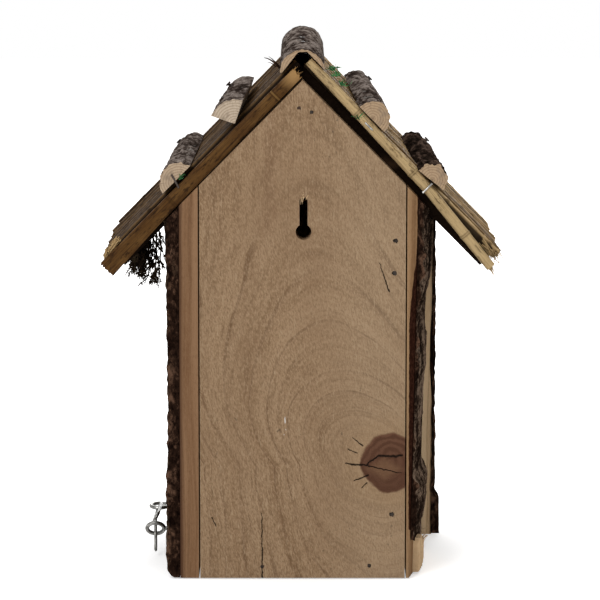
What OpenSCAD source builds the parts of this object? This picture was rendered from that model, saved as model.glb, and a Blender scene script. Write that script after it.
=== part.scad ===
// Rustic nest box: sawn gable back board with a keyhole, waney slab walls with
// bark, a side door on two pivot nails with a hook latch, and a roof of boards
// covered with canes, split bamboo and small logs.
// X is to the right as seen from behind, Y points to the entrance front, Z is up.
// The origin is the centre of the floor board's underside.

/* [Box] */
// Width of the back board
board_w = 106.6; // [90:0.2:130]
// Height of the back board at its shoulders
shoulder_h = 206.2; // [180:0.2:240]
// Slope of the roof in degrees
pitch = 45.5; // [43:0.5:48]
// Thickness of the back board
board_t = 12; // [10:0.5:15]
// Depth from the back face to the rear face of the front slab
wall_depth = 111; // [95:1:130]
// Thickness of the floor board
floor_t = 12; // [9:0.5:16]
// Gap between pieces that stand side by side
seam = 0.7; // [0.4:0.1:1]
// Gap between pieces that lie on each other
seat_gap = 0.2; // [0.1:0.05:0.3]

/* [Keyhole] */
// Distance of the keyhole from the middle
key_x = 0.5; // [-5:0.1:5]
// Radius of the keyhole's round part
key_r = 4.1; // [3.5:0.1:5]
// Width of the keyhole's slot
key_slot_w = 4.2; // [3:0.1:5]
// Height of the keyhole's centre
key_z = 182; // [165:1:190]
// Height of the slot's top above the keyhole's centre
key_slot_h = 18.6; // [12:0.2:22]

/* [Front] */
// Half width of the front slab's sawn face
front_half_w = 70.5; // [66:0.5:80]
// Thickness of the front slab in its middle
front_mid_t = 20; // [16:0.5:26]
// Thickness of the front slab at its edges
front_edge_t = 9; // [7:0.5:12]
// Radius of the entrance hole
entrance_r = 16; // [13:0.5:20]
// Height of the entrance hole's centre
entrance_z = 132; // [110:1:138]
// Thickness of the bark on the slabs
bark_t = 3.2; // [2:0.1:5]
// How far the front's bark stands out beyond the sawn face
front_bark_lip = 4.2; // [2:0.1:6]
// How much less it stands out above its foot
front_bark_waist = 2.3; // [0:0.1:2.6]

/* [Right wall] */
// Thickness of the right wall's rear edge at its foot
right_edge_foot = 1.8; // [1.2:0.1:4]
// Thickness of the right wall's rear edge at its top
right_edge_top = 5.6; // [4:0.1:8]
// Thickness of the right wall half way along at its foot
right_mid_foot = 7.4; // [6.5:0.1:12]
// Thickness of the right wall half way along at its top
right_mid_top = 12; // [9:0.1:15]
// Depth over which the rear edge thickens
right_bevel = 25; // [18:1:35]

/* [Door and post] */
// Thickness of the post and door
door_t = 9.7; // [8:0.1:13]
// Depth of the rear post
post_depth = 62; // [60:0.5:70]
// Bark thickness on the post
post_bark_t = 6.4; // [4:0.1:8]
// Bark thickness on the door
door_bark_t = 5.2; // [3:0.1:7]
// Gap between the door's top and the roof
door_top_gap = 4.4; // [4.2:0.1:6]
// Distance of the door's pivot nails below the back board's shoulders
pivot_drop = 16.7; // [15:0.1:24]
// Distance from the door's inner face to the pivot nails
pivot_in = 3.2; // [2.5:0.1:5]
// Radius of the pivot nails
pivot_r = 0.8; // [0.6:0.05:1.2]
// Radial running clearance of the pivot nails
pivot_play = 0.06; // [0.03:0.01:0.1]
// Distance of the door bark's top below the pivot
door_bark_drop = 25; // [24:1:40]

/* [Roof] */
// Thickness of the roof boards
roof_t = 7; // [5:0.5:10]
// How far the roof boards' undersides lie below the gable line
roof_sink = 2.6; // [1:0.1:4]
// Length of the roof boards down the slope
roof_slope = 134; // [120:1:145]
// Length of the roof covering along the ridge
roof_len = 155; // [150:1:185]
// Radius of a cane of the roof covering
cane_r = 2.75; // [2.4:0.05:3.2]
// Distance between neighbouring canes
cane_step = 6; // [5.8:0.1:7]
// Length of the canes down the slope
cane_len = 144; // [130:1:150]
// Width of the bamboo slat on the left rear edge
slat_w = 6.6; // [5:0.1:8]
// Radius of the cane on the right rear edge
edge_cane_r = 2.8; // [2.5:0.05:2.85]

/* [Logs] */
// Radius of the ridge log
ridge_r = 11.7; // [10.5:0.1:13]
// Radius of the left lower log
ll_r = 10.1; // [8:0.1:12]
// Radius of the left upper log's quarter
lu_r = 13.3; // [10:0.1:15]
// Radius of the right upper log
ru_r = 8.9; // [7:0.1:11]
// Radius of the right lower log
rl_r = 8.4; // [7:0.1:11]

/* [Latch] */
// Middle radius of the screw eyes' rings
eye_r = 4.5; // [4.2:0.05:5]
// Radius of the screw eyes' wire
eye_wire = 1.1; // [0.9:0.05:1.2]
// Radius of the hook's wire
hook_wire = 0.9; // [0.7:0.05:1]
// Height of the latch
latch_z = 15.3; // [12:0.1:30]
// Depth of the post's screw eye from the back face
eye_post_y = 56; // [45:1:57]
// Distance of the door's screw eye from the front slab's rear face
eye_door_in = 3.2; // [2.5:0.1:3.4]
// Distance of the rings' centres from the plane of the box's left edge
eye_out = 3.9; // [3.8:0.1:6]
// Length of the hook's bent tip below the latch's height
tip_len = 12.9; // [9:0.1:13.5]

/* [Nails] */
// Radius of the nails
nail_r = 0.8; // [0.6:0.05:1.1]
// Radius of the nail heads
nail_head_r = 1.5; // [1.2:0.1:2.2]

/* [Hidden] */
$fn = 48;
eps = 0.02;

half_w = board_w / 2;
apex_z = shoulder_h + half_w * tan(pitch);
back_y = -(board_t + wall_depth) / 2;
wall_in = half_w + seam;
post_out = wall_in + door_t;
under_drop = roof_sink / cos(pitch);
far = 400;

// Height of a line parallel to the roof, p above the gable line, at distance x
function roof_z(x, p) = apex_z - abs(x) * tan(pitch) + p / cos(pitch);

// A repeatable value between -1 and 1 for the n-th natural difference
function vary(n, seed) = sin(n * 137.5 + seed * 71) * 43.17 % 1;

under = -roof_sink - seat_gap;
cover_low = roof_t - roof_sink + seat_gap;
cover_high = cover_low + 2 * cane_r;
log_seat = cover_high + seat_gap;
roof_front = roof_len - 1.5;
roof_rear = board_t + 0.5;

// Places children with y counted from the back face
module from_back() {
    translate([0, back_y, 0]) children();
}

// Places children on a slope: x down the slope, z away from the gable line
module on_slope(side) {
    from_back()
        mirror([side < 0 ? 1 : 0, 0, 0])
            translate([0, 0, apex_z])
                rotate([0, pitch, 0])
                    children();
}

// A prism along y from y0 to y1 over points in the x-z plane
module prism_y(points, y0, y1) {
    translate([0, y1, 0])
        rotate([90, 0, 0])
            linear_extrude(y1 - y0)
                polygon(points);
}

// A rod along y
module rod_y(r, y0, y1) {
    translate([0, y1, 0])
        rotate([90, 0, 0])
            cylinder(r = r, h = y1 - y0);
}

// The gable outline, cut parallel to the roof at height p above the gable line
function gable(w, p, foot) = [
    [-w, foot], [w, foot], [w, roof_z(w, p)], [0, roof_z(0, p)], [-w, roof_z(w, p)]
];

// A wire nail: its head's top is at z = 0 and its shank points to -z
module nail(len, r = nail_r, head_r = nail_head_r) {
    head_t = 0.8;
    tip = 2.5;
    translate([0, 0, -head_t])
        cylinder(r = head_r, h = head_t);
    translate([0, 0, tip - len])
        cylinder(r = r, h = len - head_t - tip + eps);
    translate([0, 0, -len])
        cylinder(r1 = 0.1, r2 = r, h = tip + eps);
}

// Nails in the back board: x, z, length, sideways slant in degrees
back_nails = [
    [-1.8, apex_z - 14, 32, 0], [4.7, apex_z - 16.4, 32, 0],
    [half_w - 5.7, 0.861 * shoulder_h, 20, 30],
    [half_w - 6.2, 0.779 * shoulder_h, 20, 30],
    [half_w - 7.2, 0.164 * shoulder_h, 20, 30],
    [-0.394 * half_w, floor_t / 2, 30, 0],
    [0.653 * half_w, floor_t / 2 + 0.6, 30, 0]
];
nail_sink = 0.3;

module back_nail_set() {
    for (n = back_nails)
        translate([n[0], nail_sink, n[1]])
            rotate([0, 0, -n[3]])
                rotate([90, 0, 0])
                    nail(n[2]);
}

// Shallow pocket in the back face for each nail head
module back_nail_pockets() {
    pocket = 1.4;
    for (n = back_nails)
        translate([n[0], 0, n[1]])
            rod_y(nail_head_r + 0.4, -1, pocket);
}

module keyhole() {
    slot_r = key_slot_w / 2;
    translate([key_x, 0, key_z]) {
        rod_y(key_r, -1, board_t + 1);
        translate([-slot_r, -1, 0])
            cube([key_slot_w, board_t + 2, key_slot_h - slot_r]);
        translate([0, 0, key_slot_h - slot_r])
            rod_y(slot_r, -1, board_t + 1);
    }
}

module back_board() {
    color([0.62, 0.49, 0.36])
        from_back()
            difference() {
                prism_y(gable(half_w, 0, 0), 0, board_t);
                keyhole();
                back_nail_pockets();
            }
}

// Outer corner rounding of the left slab's foot
foot_r = 5;

// Everything on one side under the wall tops: up to the gable line beside the
// back board, and up to the roof boards' undersides further in
module under_roof(side, x0, x1, y1) {
    mirror([side < 0 ? 1 : 0, 0, 0]) {
        prism_y([
            [x0, -1], [x1, -1], [x1, roof_z(x1, under)], [x0, roof_z(x0, under)]
        ], -1, y1);
        prism_y([
            [x0, -1], [x1, -1], [x1, roof_z(x1, 0)], [x0, roof_z(x0, 0)]
        ], -1, board_t);
    }
}

module left_post() {
    color([0.58, 0.42, 0.29])
        from_back()
            intersection() {
                translate([-post_out, 0, 0])
                    cube([door_t, post_depth, shoulder_h]);
                under_roof(-1, wall_in - 1, post_out + 1, post_depth + 1);
            }
}

// Bark slab on the left side, rounded at its foot, from y0 to y1
module left_bark(t, y0, y1, top) {
    x_in = -post_out - seat_gap;
    x_out = x_in - t;
    difference() {
        prism_y([
            [x_out + foot_r, 0], [x_in, 0], [x_in, min(top, roof_z(x_in, 0))],
            [x_out, min(top, roof_z(x_out, 0))], [x_out, foot_r]
        ], y0, y1);
        translate([x_out + foot_r, 0, foot_r])
            difference() {
                translate([-2 * foot_r, y0 - 1, -2 * foot_r])
                    cube([2 * foot_r, y1 - y0 + 2, 2 * foot_r]);
                rod_y(foot_r, y0 - 2, y1 + 2);
            }
    }
}

module post_bark() {
    color([0.27, 0.2, 0.16])
        from_back()
            intersection() {
                left_bark(post_bark_t, 0, post_depth, far);
                under_roof(-1, post_out - 1, post_out + 2 * post_bark_t, post_depth + 1);
            }
}

// The right wall's outer form, grown by g: a waney slab from a large log
module right_form(g) {
    rise = apex_z;
    log_r = 260;
    edge_lean = atan((right_edge_top - right_edge_foot) / shoulder_h);
    bevel = atan((right_mid_foot - right_edge_foot) / right_bevel);
    intersection() {
        translate([wall_in, 0, 0])
            cube([3 * right_mid_top, wall_depth - seam, rise]);
        translate([wall_in + right_mid_foot + g - log_r, wall_depth / 2, 0])
            cylinder(
                r1 = log_r,
                r2 = log_r + (right_mid_top - right_mid_foot) * rise / shoulder_h,
                h = rise, $fn = 180
            );
        translate([wall_in + right_edge_foot + g, 0, 0])
            rotate([0, edge_lean, -bevel])
                translate([-60, -40, -20])
                    cube([60, 260, rise + 60]);
    }
}

module right_wall() {
    color([0.6, 0.45, 0.31])
        from_back()
            intersection() {
                right_form(0);
                under_roof(1, wall_in - 1, wall_in + 30, wall_depth);
            }
}

module right_bark() {
    bare_foot = 20;
    rear_bare = 0.4;
    color([0.3, 0.24, 0.19])
        from_back()
            intersection() {
                difference() {
                    right_form(bark_t + seat_gap);
                    right_form(seat_gap);
                    translate([wall_in - 5, -1, -1])
                        cube([60, rear_bare + 1, far]);
                    translate([wall_in - 5, -1, -1])
                        rotate([-14, 0, 0])
                            cube([60, 60, bare_foot]);
                }
                under_roof(1, wall_in - 1, wall_in + 30, wall_depth);
            }
}

front_sag = front_mid_t - front_edge_t;
front_log_r = (pow(front_half_w, 2) + pow(front_sag, 2)) / (2 * front_sag);
front_log_y = wall_depth + front_mid_t - front_log_r;

// Depth of the front bark's outer face at distance x from the middle
function front_face(x) = front_log_y + sqrt(pow(front_log_r + seat_gap + bark_t, 2) - x * x);

// The natural edge of the slab, x for a height z
function waney(w, z, amp) = w + amp * sin(z * 2.6) + 0.6 * amp * sin(z * 5.9 + 40);

function front_outline(w, amp, waist = 0) = let (
    steps = 10,
    top = roof_z(w, under),
    side = [for (i = [0 : steps]) [waney(w - (i > 1 ? waist : 0), top * i / steps, amp), top * i / steps]],
    clipped = [for (q = side) [q[0], min(q[1], roof_z(q[0], under))]]
) concat(
    clipped,
    [[0, roof_z(0, under)]],
    [for (i = [steps : -1 : 0]) [-clipped[i][0], clipped[i][1]]]
);

module front_slab() {
    color([0.66, 0.52, 0.37])
        from_back()
            difference() {
                intersection() {
                    prism_y(front_outline(front_half_w, 0.7), wall_depth, far);
                    translate([0, front_log_y, 0])
                        cylinder(r = front_log_r, h = far, $fn = 180);
                }
                translate([0, 0, entrance_z])
                    rod_y(entrance_r, wall_depth - 5, wall_depth + 60);
                corner_notch();
            }
}

module front_bark() {
    color([0.29, 0.22, 0.17])
        from_back()
            difference() {
                intersection() {
                    prism_y(
                        front_outline(front_half_w + front_bark_lip, 0.5, front_bark_waist),
                        wall_depth + 3, far
                    );
                    translate([0, front_log_y, 0])
                        cylinder(r = front_log_r + seat_gap + bark_t, h = far, $fn = 180);
                }
                translate([0, front_log_y, -1])
                    cylinder(r = front_log_r + seat_gap, h = far, $fn = 180);
                translate([0, 0, entrance_z])
                    rod_y(entrance_r + 1.5, wall_depth - 5, wall_depth + 60);
                corner_notch();
            }
}

module floor_board() {
    color([0.6, 0.47, 0.34])
        from_back()
            translate([-half_w, board_t + seat_gap, 0])
                cube([board_w, wall_depth - board_t - 2 * seat_gap, floor_t]);
}

// Square batten on edge, its upper faces against the roof boards
batten_w = 15;

module ridge_batten() {
    top = roof_z(0, under);
    x = batten_w * cos(pitch);
    drop = batten_w * sin(pitch);
    color([0.62, 0.5, 0.37])
        from_back()
            prism_y(
                [[0, top], [-x, top - drop], [0, top - 2 * drop], [x, top - drop]],
                board_t + seat_gap, wall_depth - seat_gap
            );
}

pivot_x = -(wall_in + pivot_in);
pivot_z = shoulder_h - pivot_drop;
pivot_hole = 18;
door_y0 = post_depth + seam;
door_y1 = wall_depth - seam;
door_foot = 1;
lug_top = 30;

// The door's foot laps round the front slab's corner, where this is cut away
module corner_notch() {
    translate([-100, wall_depth - 1, -1])
        cube([100 - wall_in + seam, far, lug_top + 2.5]);
}

module door_lug() {
    intersection() {
        translate([-post_out, door_y1 - 1, door_foot])
            cube([door_t, 40, lug_top - door_foot]);
        translate([0, front_log_y, 0])
            cylinder(r = front_log_r, h = far, $fn = 180);
    }
}

module left_door() {
    top_p = under - door_top_gap * cos(pitch);
    color([0.58, 0.42, 0.29])
        from_back()
            difference() {
                union() {
                    prism_y([
                        [-post_out, door_foot], [-wall_in, door_foot],
                        [-wall_in, roof_z(wall_in, top_p)],
                        [-post_out, roof_z(post_out, top_p)]
                    ], door_y0, door_y1);
                    door_lug();
                }
                translate([pivot_x, 0, pivot_z]) {
                    rod_y(pivot_r + pivot_play, door_y0 - 1, door_y0 + pivot_hole);
                    rod_y(pivot_r + pivot_play, door_y1 - pivot_hole, door_y1 + 1);
                }
            }
}

module door_bark() {
    bark_r = 230;
    color([0.28, 0.21, 0.17])
        from_back()
            intersection() {
                translate([0, 0, door_foot]) {
                    left_bark(door_bark_t, door_y0, door_y1, pivot_z - door_bark_drop);
                    left_bark(door_bark_t, door_y1 - 1, wall_depth + 6, lug_top - door_foot);
                }
                translate([bark_r - post_out - seat_gap - door_bark_t, door_y0 + 18, 0])
                    cylinder(r = bark_r, h = far, $fn = 180);
            }
}

// Two nails on one line: one through the post, one through the front slab
module pivot_nails() {
    reach = 14;
    head_y = front_face(pivot_x) + 0.6;
    color([0.45, 0.33, 0.25])
        from_back()
            translate([pivot_x, 0, pivot_z]) {
                rotate([90, 0, 0])
                    nail(door_y0 + reach, pivot_r, 1.1);
                translate([0, head_y, 0])
                    rotate([-90, 0, 0])
                        nail(head_y - door_y1 + reach, pivot_r, nail_head_r);
            }
}

module roof_board(side) {
    color([0.4, 0.3, 0.2])
        intersection() {
            on_slope(side)
                translate([-30, roof_rear, -roof_sink])
                    cube([roof_slope + 30, roof_front - roof_rear, roof_t]);
            translate([side > 0 ? 0.15 : -far - 0.15, -far, 0])
                cube([far, 2 * far, far]);
        }
}

module roof_board_left() {
    roof_board(-1);
}

module roof_board_right() {
    roof_board(1);
}

rear_gap = 0.3;
slat_t = 5.4;

// Its lower edge stays above the wall tops and drops below them past the post
module edge_slat_left() {
    eave = cane_len - 3;
    clear = 0.35;
    past = (post_out + post_bark_t + 1) / cos(pitch);
    color([0.62, 0.48, 0.27])
        on_slope(-1)
            intersection() {
                prism_y([
                    [-1, 1.2], [past, clear], [eave, -1.4],
                    [eave, slat_w + 1.3], [-1, slat_w + 1]
                ], rear_gap, rear_gap + slat_t);
                translate([-2, rear_gap + 9, slat_w / 2 + 0.6])
                    rotate([0, 90, 0])
                        cylinder(r = 9.6, h = cane_len + 10);
            }
}

// The crooked cane: distance down the slope, height above the gable line and the
// radius of the length that starts there
crook = [
    [-4.6, 9, edge_cane_r - 0.5], [30, 8.3, edge_cane_r - 0.1],
    [73, 6.9, edge_cane_r - 0.1], [86, 6.6, edge_cane_r], [137.5, 1.4, 0]
];
edge_cane_y = edge_cane_r + 1;

function fall(a, b) = atan2(a[1] - b[1], b[0] - a[0]);

// Straight lengths between the bends, and a thicker ring at each bend
module edge_cane_right() {
    joint = 0.3;
    ring = 2.2;
    last = len(crook) - 1;
    color([0.68, 0.58, 0.37])
        on_slope(1)
            translate([0, edge_cane_y, 0])
                for (i = [0 : last - 1]) {
                    a = crook[i];
                    b = crook[i + 1];
                    run = norm([b[0] - a[0], b[1] - a[1]]);
                    translate([a[0], 0, a[1]])
                        rotate([0, 90 + fall(a, b), 0])
                            translate([0, 0, joint])
                                cylinder(r = a[2], h = run - 2 * joint);
                    if (i > 0)
                        translate([a[0], 0, a[1]])
                            rotate([0, 90 + fall(crook[i - 1], b), 0])
                                translate([0, 0, -ring / 2])
                                    cylinder(r = a[2] + 0.3, h = ring);
                }
}

cover_start = -4.3;
cover_rear = 7.3;
cane_count = floor((roof_front - cover_rear) / cane_step);

// One row of canes, split ones flat on their underside
module cane_row(side, seed, split) {
    on_slope(side)
        for (i = [0 : cane_count - 1]) {
            r = cane_r - 0.12 + 0.1 * vary(i, seed);
            tail = cane_len - 2.5 + 2.5 * vary(i, seed + 3);
            translate([cover_start, cover_rear + (i + 0.5) * cane_step, cover_low + r])
                rotate([0, 90, 0])
                    if (split)
                        intersection() {
                            translate([r * 0.75, 0, 0])
                                cylinder(r = r * 1.45, h = tail);
                            translate([-r, -r * 1.04, 0])
                                cube([2 * r, 2.08 * r, tail]);
                        }
                    else
                        cylinder(r = r, h = tail);
        }
}

module canes_left() {
    color([0.52, 0.42, 0.28])
        cane_row(-1, 1, true);
}

module canes_right() {
    color([0.66, 0.55, 0.36])
        cane_row(1, 2, false);
}

module ridge_log() {
    top = roof_z(0, log_seat);
    centre = top + 1.4 - ridge_r;
    wide = 2 * ridge_r;
    flat = 2.3;
    left = 9.6;
    lean = 1.3;
    color([0.42, 0.38, 0.36])
        from_back()
            difference() {
                translate([0, 0, centre])
                    rod_y(ridge_r, rear_gap, roof_len - 2);
                prism_y([
                    [-flat, top - 0.2], [flat, top],
                    [wide, roof_z(wide, log_seat + 1.7)], [wide, 0], [-wide, 0],
                    [-wide, roof_z(left, log_seat + 0.1) - lean * (wide - left)],
                    [-left, roof_z(left, log_seat + 0.1)]
                ], -1, roof_len);
                translate([-wide, -1, 0])
                    cube([2 * wide, roof_len + 2, centre - 0.6]);
            }
}

// A half-round log on a slope, its flat side down, turned by skew degrees in the
// plane of the slope, and tilted so that its lower side stands up
module half_log(side, s, r, height, y0, y1, skew = 0, lift = 0, tilt = 0) {
    on_slope(side)
        translate([s, y0, log_seat + lift])
            rotate([0, -tilt, skew])
                intersection() {
                    translate([0, 0, height - r])
                        rod_y(r, 0, y1 - y0);
                    translate([-2 * r, -1, 0])
                        cube([4 * r, y1 - y0 + 2, 2 * r]);
                }
}

ll_s = 0.57 * cane_len;
ll_h = 0.83 * ll_r;
ll_skew = 2.6;

module log_left_lower() {
    color([0.45, 0.38, 0.33])
        half_log(-1, ll_s, ll_r, ll_h, 0.7, 0.8 * roof_len, skew = ll_skew);
}

lu_s = 0.2875 * cane_len;
lu_len = 0.62 * roof_len;
lu_skew = 4;

// Quarter log standing on its split edge
module log_left_upper() {
    tilt = 64;
    color([0.47, 0.42, 0.39])
        on_slope(-1)
            translate([lu_s, 0.7, log_seat])
                rotate([0, 0, lu_skew])
                    intersection() {
                        rod_y(lu_r, 0, lu_len);
                        rotate([0, -tilt, 0])
                            translate([0, -1, 0])
                                cube([2 * lu_r, lu_len + 2, 2 * lu_r]);
                    }
}

// The right logs lie on the crooked cane at their rear ends
ru_s = 0.273 * cane_len;
ru_h = 1.08 * ru_r;
ru_lift = 1;
ru_skew = 4.2;

module log_right_upper() {
    color([0.42, 0.37, 0.34])
        half_log(1, ru_s, ru_r, ru_h, rear_gap, 0.8 * roof_len, skew = ru_skew, lift = ru_lift);
}

rl_s = 0.58 * cane_len;
rl_h = 1.07 * rl_r;
rl_tilt = 7;
rl_skew = 4.2;
rl_lift = rl_r * sin(rl_tilt) - 0.25;

module log_right_lower() {
    color([0.38, 0.31, 0.26])
        half_log(
            1, rl_s, rl_r, rl_h, rear_gap, 0.76 * roof_len,
            skew = rl_skew, lift = rl_lift, tilt = rl_tilt
        );
}

// Nails that hold floor, right wall and front slab, and the post to the back board
module wall_nails() {
    proud = 0.6;
    side_x = wall_in + right_mid_foot / 2 + 1.4;
    color([0.5, 0.5, 0.5])
        from_back() {
            back_nail_set();
            for (z = [0.15, 0.53, 0.87])
                translate([side_x, front_face(side_x) + proud, z * shoulder_h])
                    rotate([-90, 0, 0])
                        nail(36);
            for (x = [-0.56, 0.56] * half_w)
                translate([x, front_face(x) + proud, floor_t / 2])
                    rotate([-90, 0, 0])
                        nail(36);
            for (z = [0.12, 0.48, 0.85])
                translate([-post_out, board_t / 2, z * shoulder_h])
                    rotate([0, -90, 0])
                        nail(24);
        }
}

// Nails through the roof boards into the batten, the front slab and the right wall
module roof_nails() {
    nail_len = 20;
    wall_nail_len = 17;
    wall_s = (wall_in + right_mid_foot - 0.7 + roof_sink * sin(pitch)) / cos(pitch);
    color([0.5, 0.5, 0.5]) {
        for (side = [-1, 1])
            on_slope(side) {
                for (y = [0.36, 0.62, 0.9] * wall_depth)
                    translate([0.6 * batten_w, y + 3 * side, roof_t - roof_sink])
                        nail(nail_len);
                for (s = [0.42, 0.92] * front_half_w)
                    translate([s, wall_depth + front_edge_t / 2, roof_t - roof_sink])
                        nail(nail_len);
            }
        on_slope(1)
            for (y = [0.32, 0.77] * wall_depth)
                translate([wall_s, y, roof_t - roof_sink])
                    nail(wall_nail_len);
    }
}

// Nails from above through each log into the roof boards, where they end just
// above the underside
module log_nails() {
    sunk = 0.6;
    through = log_seat + roof_sink - 0.9 - sunk;
    color([0.35, 0.3, 0.28]) {
        for (y = [0.15, 0.68] * roof_len)
            on_slope(-1)
                translate([ll_s - y * sin(ll_skew), y, log_seat + ll_h - sunk])
                    nail(through + ll_h);
        for (y = [0.13, 0.48] * roof_len)
            on_slope(-1)
                translate([lu_s - 2.4 - y * sin(lu_skew), y, log_seat + lu_r - 1.2])
                    nail(through + lu_r - 0.6);
        for (y = [0.15, 0.68] * roof_len)
            on_slope(1)
                translate([ru_s - y * sin(ru_skew), y, log_seat + ru_lift + ru_h - sunk])
                    nail(through + ru_lift + ru_h);
        for (y = [0.15, 0.64] * roof_len)
            on_slope(1)
                translate([rl_s - y * sin(rl_skew), y, log_seat + rl_lift + rl_h - sunk])
                    nail(through + rl_lift + rl_h);
        for (y = [0.32, 0.5] * roof_len)
            from_back()
                translate([0, y, roof_z(0, log_seat) + 1.4 - 0.2])
                    nail(32);
    }
}

staple_wire = 0.5;

// A wire staple: its crown runs from x = 0 to x = span, its legs point to +y
module staple(span, leg) {
    translate([-staple_wire, 0, 0])
        rotate([0, 90, 0])
            cylinder(r = staple_wire, h = span + 2 * staple_wire);
    for (x = [0, span])
        translate([x, 0, 0])
            rod_y(staple_wire, 0, leg);
}

module roof_staples() {
    crown_y = staple_wire + 0.2;
    color([0.62, 0.62, 0.62]) {
        on_slope(1) {
            translate([38.6, crown_y, crook[1][1] - 0.6])
                staple(4.4, 10);
            translate([rl_s + 1.2, crown_y, 3.9])
                rotate([0, -90, 0])
                    staple(5.9, 15);
        }
        on_slope(-1)
            translate([ll_s + 2, crown_y, 7])
                rotate([0, -107, 0])
                    staple(6.8, 9);
    }
}

// Screw eye with its ring's centre at the origin and its shank along +x
module screw_eye(tilt, shank) {
    rotate([tilt, 0, 0])
        rotate_extrude(convexity = 4)
            translate([eye_r, 0])
                circle(r = eye_wire);
    translate([eye_r, 0, 0])
        rotate([0, 90, 0])
            cylinder(r = eye_wire, h = shank - 3);
    translate([eye_r + shank - 3 - eps, 0, 0])
        rotate([0, 90, 0])
            cylinder(r1 = eye_wire, r2 = 0.2, h = 3);
}

eye_x = -(front_half_w + front_bark_lip + eye_out);
eye_door_y = wall_depth + eye_door_in;
eye_post_tilt = -50.5;
eye_door_tilt = 5;
eye_post_z = latch_z - 0.5;

module eye_door() {
    color([0.6, 0.6, 0.62])
        from_back()
            translate([eye_x, eye_door_y, latch_z])
                screw_eye(eye_door_tilt, 20);
}

module eye_post() {
    color([0.6, 0.6, 0.62])
        from_back()
            translate([eye_x, eye_post_y, eye_post_z])
                screw_eye(eye_post_tilt, 20);
}

// The hook turns on the near side of the ring of the door's eye
hook_pivot_y = eye_door_y - (eye_r - 0.12) * cos(eye_door_tilt);
hook_pivot_z = latch_z - (eye_r - 0.12) * sin(eye_door_tilt);
leg_dx = 1.35;
leg_dz = eye_wire + hook_wire + 0.6;

// How far the hook's legs rise towards the post's eye
rise = 5.4;

module latch_hook() {
    half_gap = norm([leg_dx, leg_dz]);
    roll = atan2(leg_dz, leg_dx);
    far_end = eye_wire + hook_wire + 0.35 - half_gap;
    bend = 2.4;
    tip_r = hook_wire - 0.05;
    tip_end = 0.8;
    tip_y = eye_post_y - hook_pivot_y + 0.6;
    end_y = (tip_y + bend * (1 + sin(rise))) / cos(rise);
    near_end = end_y + half_gap;
    tip_top = -end_y * sin(rise) - bend * cos(rise);
    slim = 0.03;
    color([0.55, 0.54, 0.52])
        from_back()
            translate([eye_x, hook_pivot_y, hook_pivot_z]) {
                rotate([-rise, 0, 0]) {
                    rotate([0, -roll, 0]) {
                        for (x = [-half_gap, half_gap])
                            translate([x, 0, 0])
                                rod_y(hook_wire - slim, near_end - 0.3, far_end + 0.3);
                        translate([0, far_end, 0])
                            rotate_extrude(angle = 180)
                                translate([half_gap, 0])
                                    circle(r = hook_wire);
                        translate([0, near_end, 0])
                            mirror([0, 1, 0])
                                rotate_extrude(angle = 180)
                                    translate([half_gap, 0])
                                        circle(r = hook_wire);
                    }
                    translate([0, end_y, -bend])
                        rotate([180, -90, 0])
                            rotate_extrude(angle = 90 + rise)
                                translate([bend, 0])
                                    circle(r = tip_r);
                    rod_y(tip_r - slim, end_y - 0.2, end_y + 0.6);
                }
                translate([0, tip_y, tip_end - tip_len])
                    cylinder(r = tip_r - slim, h = tip_len - tip_end + tip_top + 0.3);
                translate([0, tip_y, -tip_len])
                    cylinder(r1 = 0.4, r2 = tip_r - slim, h = tip_end);
            }
}

// Thin stems with side twigs, tied under the front of the left eave
module stem(x, y, drop, lean, seed) {
    twigs = 9;
    translate([x, y, roof_z(x, under) - 0.3])
        rotate([0, 180 + lean, 0]) {
            cylinder(r = 0.7, h = drop, $fn = 6);
            for (i = [1 : twigs])
                translate([0, 0, drop * (0.2 + 0.78 * i / twigs)])
                    rotate([0, 0, i * 137.5 + seed * 50])
                        rotate([0, 32, 0])
                            cylinder(r = 0.5, h = 5.5 + vary(i, seed), $fn = 5);
        }
}

module heather_sprig() {
    y = roof_len - 26;
    color([0.2, 0.14, 0.1])
        from_back() {
            stem(-84.5, y, 40, 3, 1);
            stem(-81.5, y + 2, 36, -8, 2);
            stem(-88, y - 2, 24, 10, 3);
            stem(-92.5, y, 14, 4, 4);
        }
}

back_board();
left_post();
post_bark();
right_wall();
right_bark();
front_slab();
front_bark();
floor_board();
ridge_batten();
left_door();
door_bark();
pivot_nails();
roof_board_left();
roof_board_right();
edge_slat_left();
edge_cane_right();
canes_left();
canes_right();
ridge_log();
log_left_lower();
log_left_upper();
log_right_upper();
log_right_lower();
wall_nails();
roof_nails();
log_nails();
roof_staples();
eye_door();
eye_post();
latch_hook();
heather_sprig();
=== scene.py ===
# %% [markdown]
# # A rustic nest box, seen from its back
# The box hangs on a wall or a tree, so its back is a plain sawn board with a
# keyhole. Everything else is what a gardener has at hand: bark slabs, canes,
# split bamboo, short logs, nails and wire. This lesson dresses the exact frame
# of the box with wood, bark and wire that look gathered rather than made.

# %% Load the frame
import math

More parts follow.
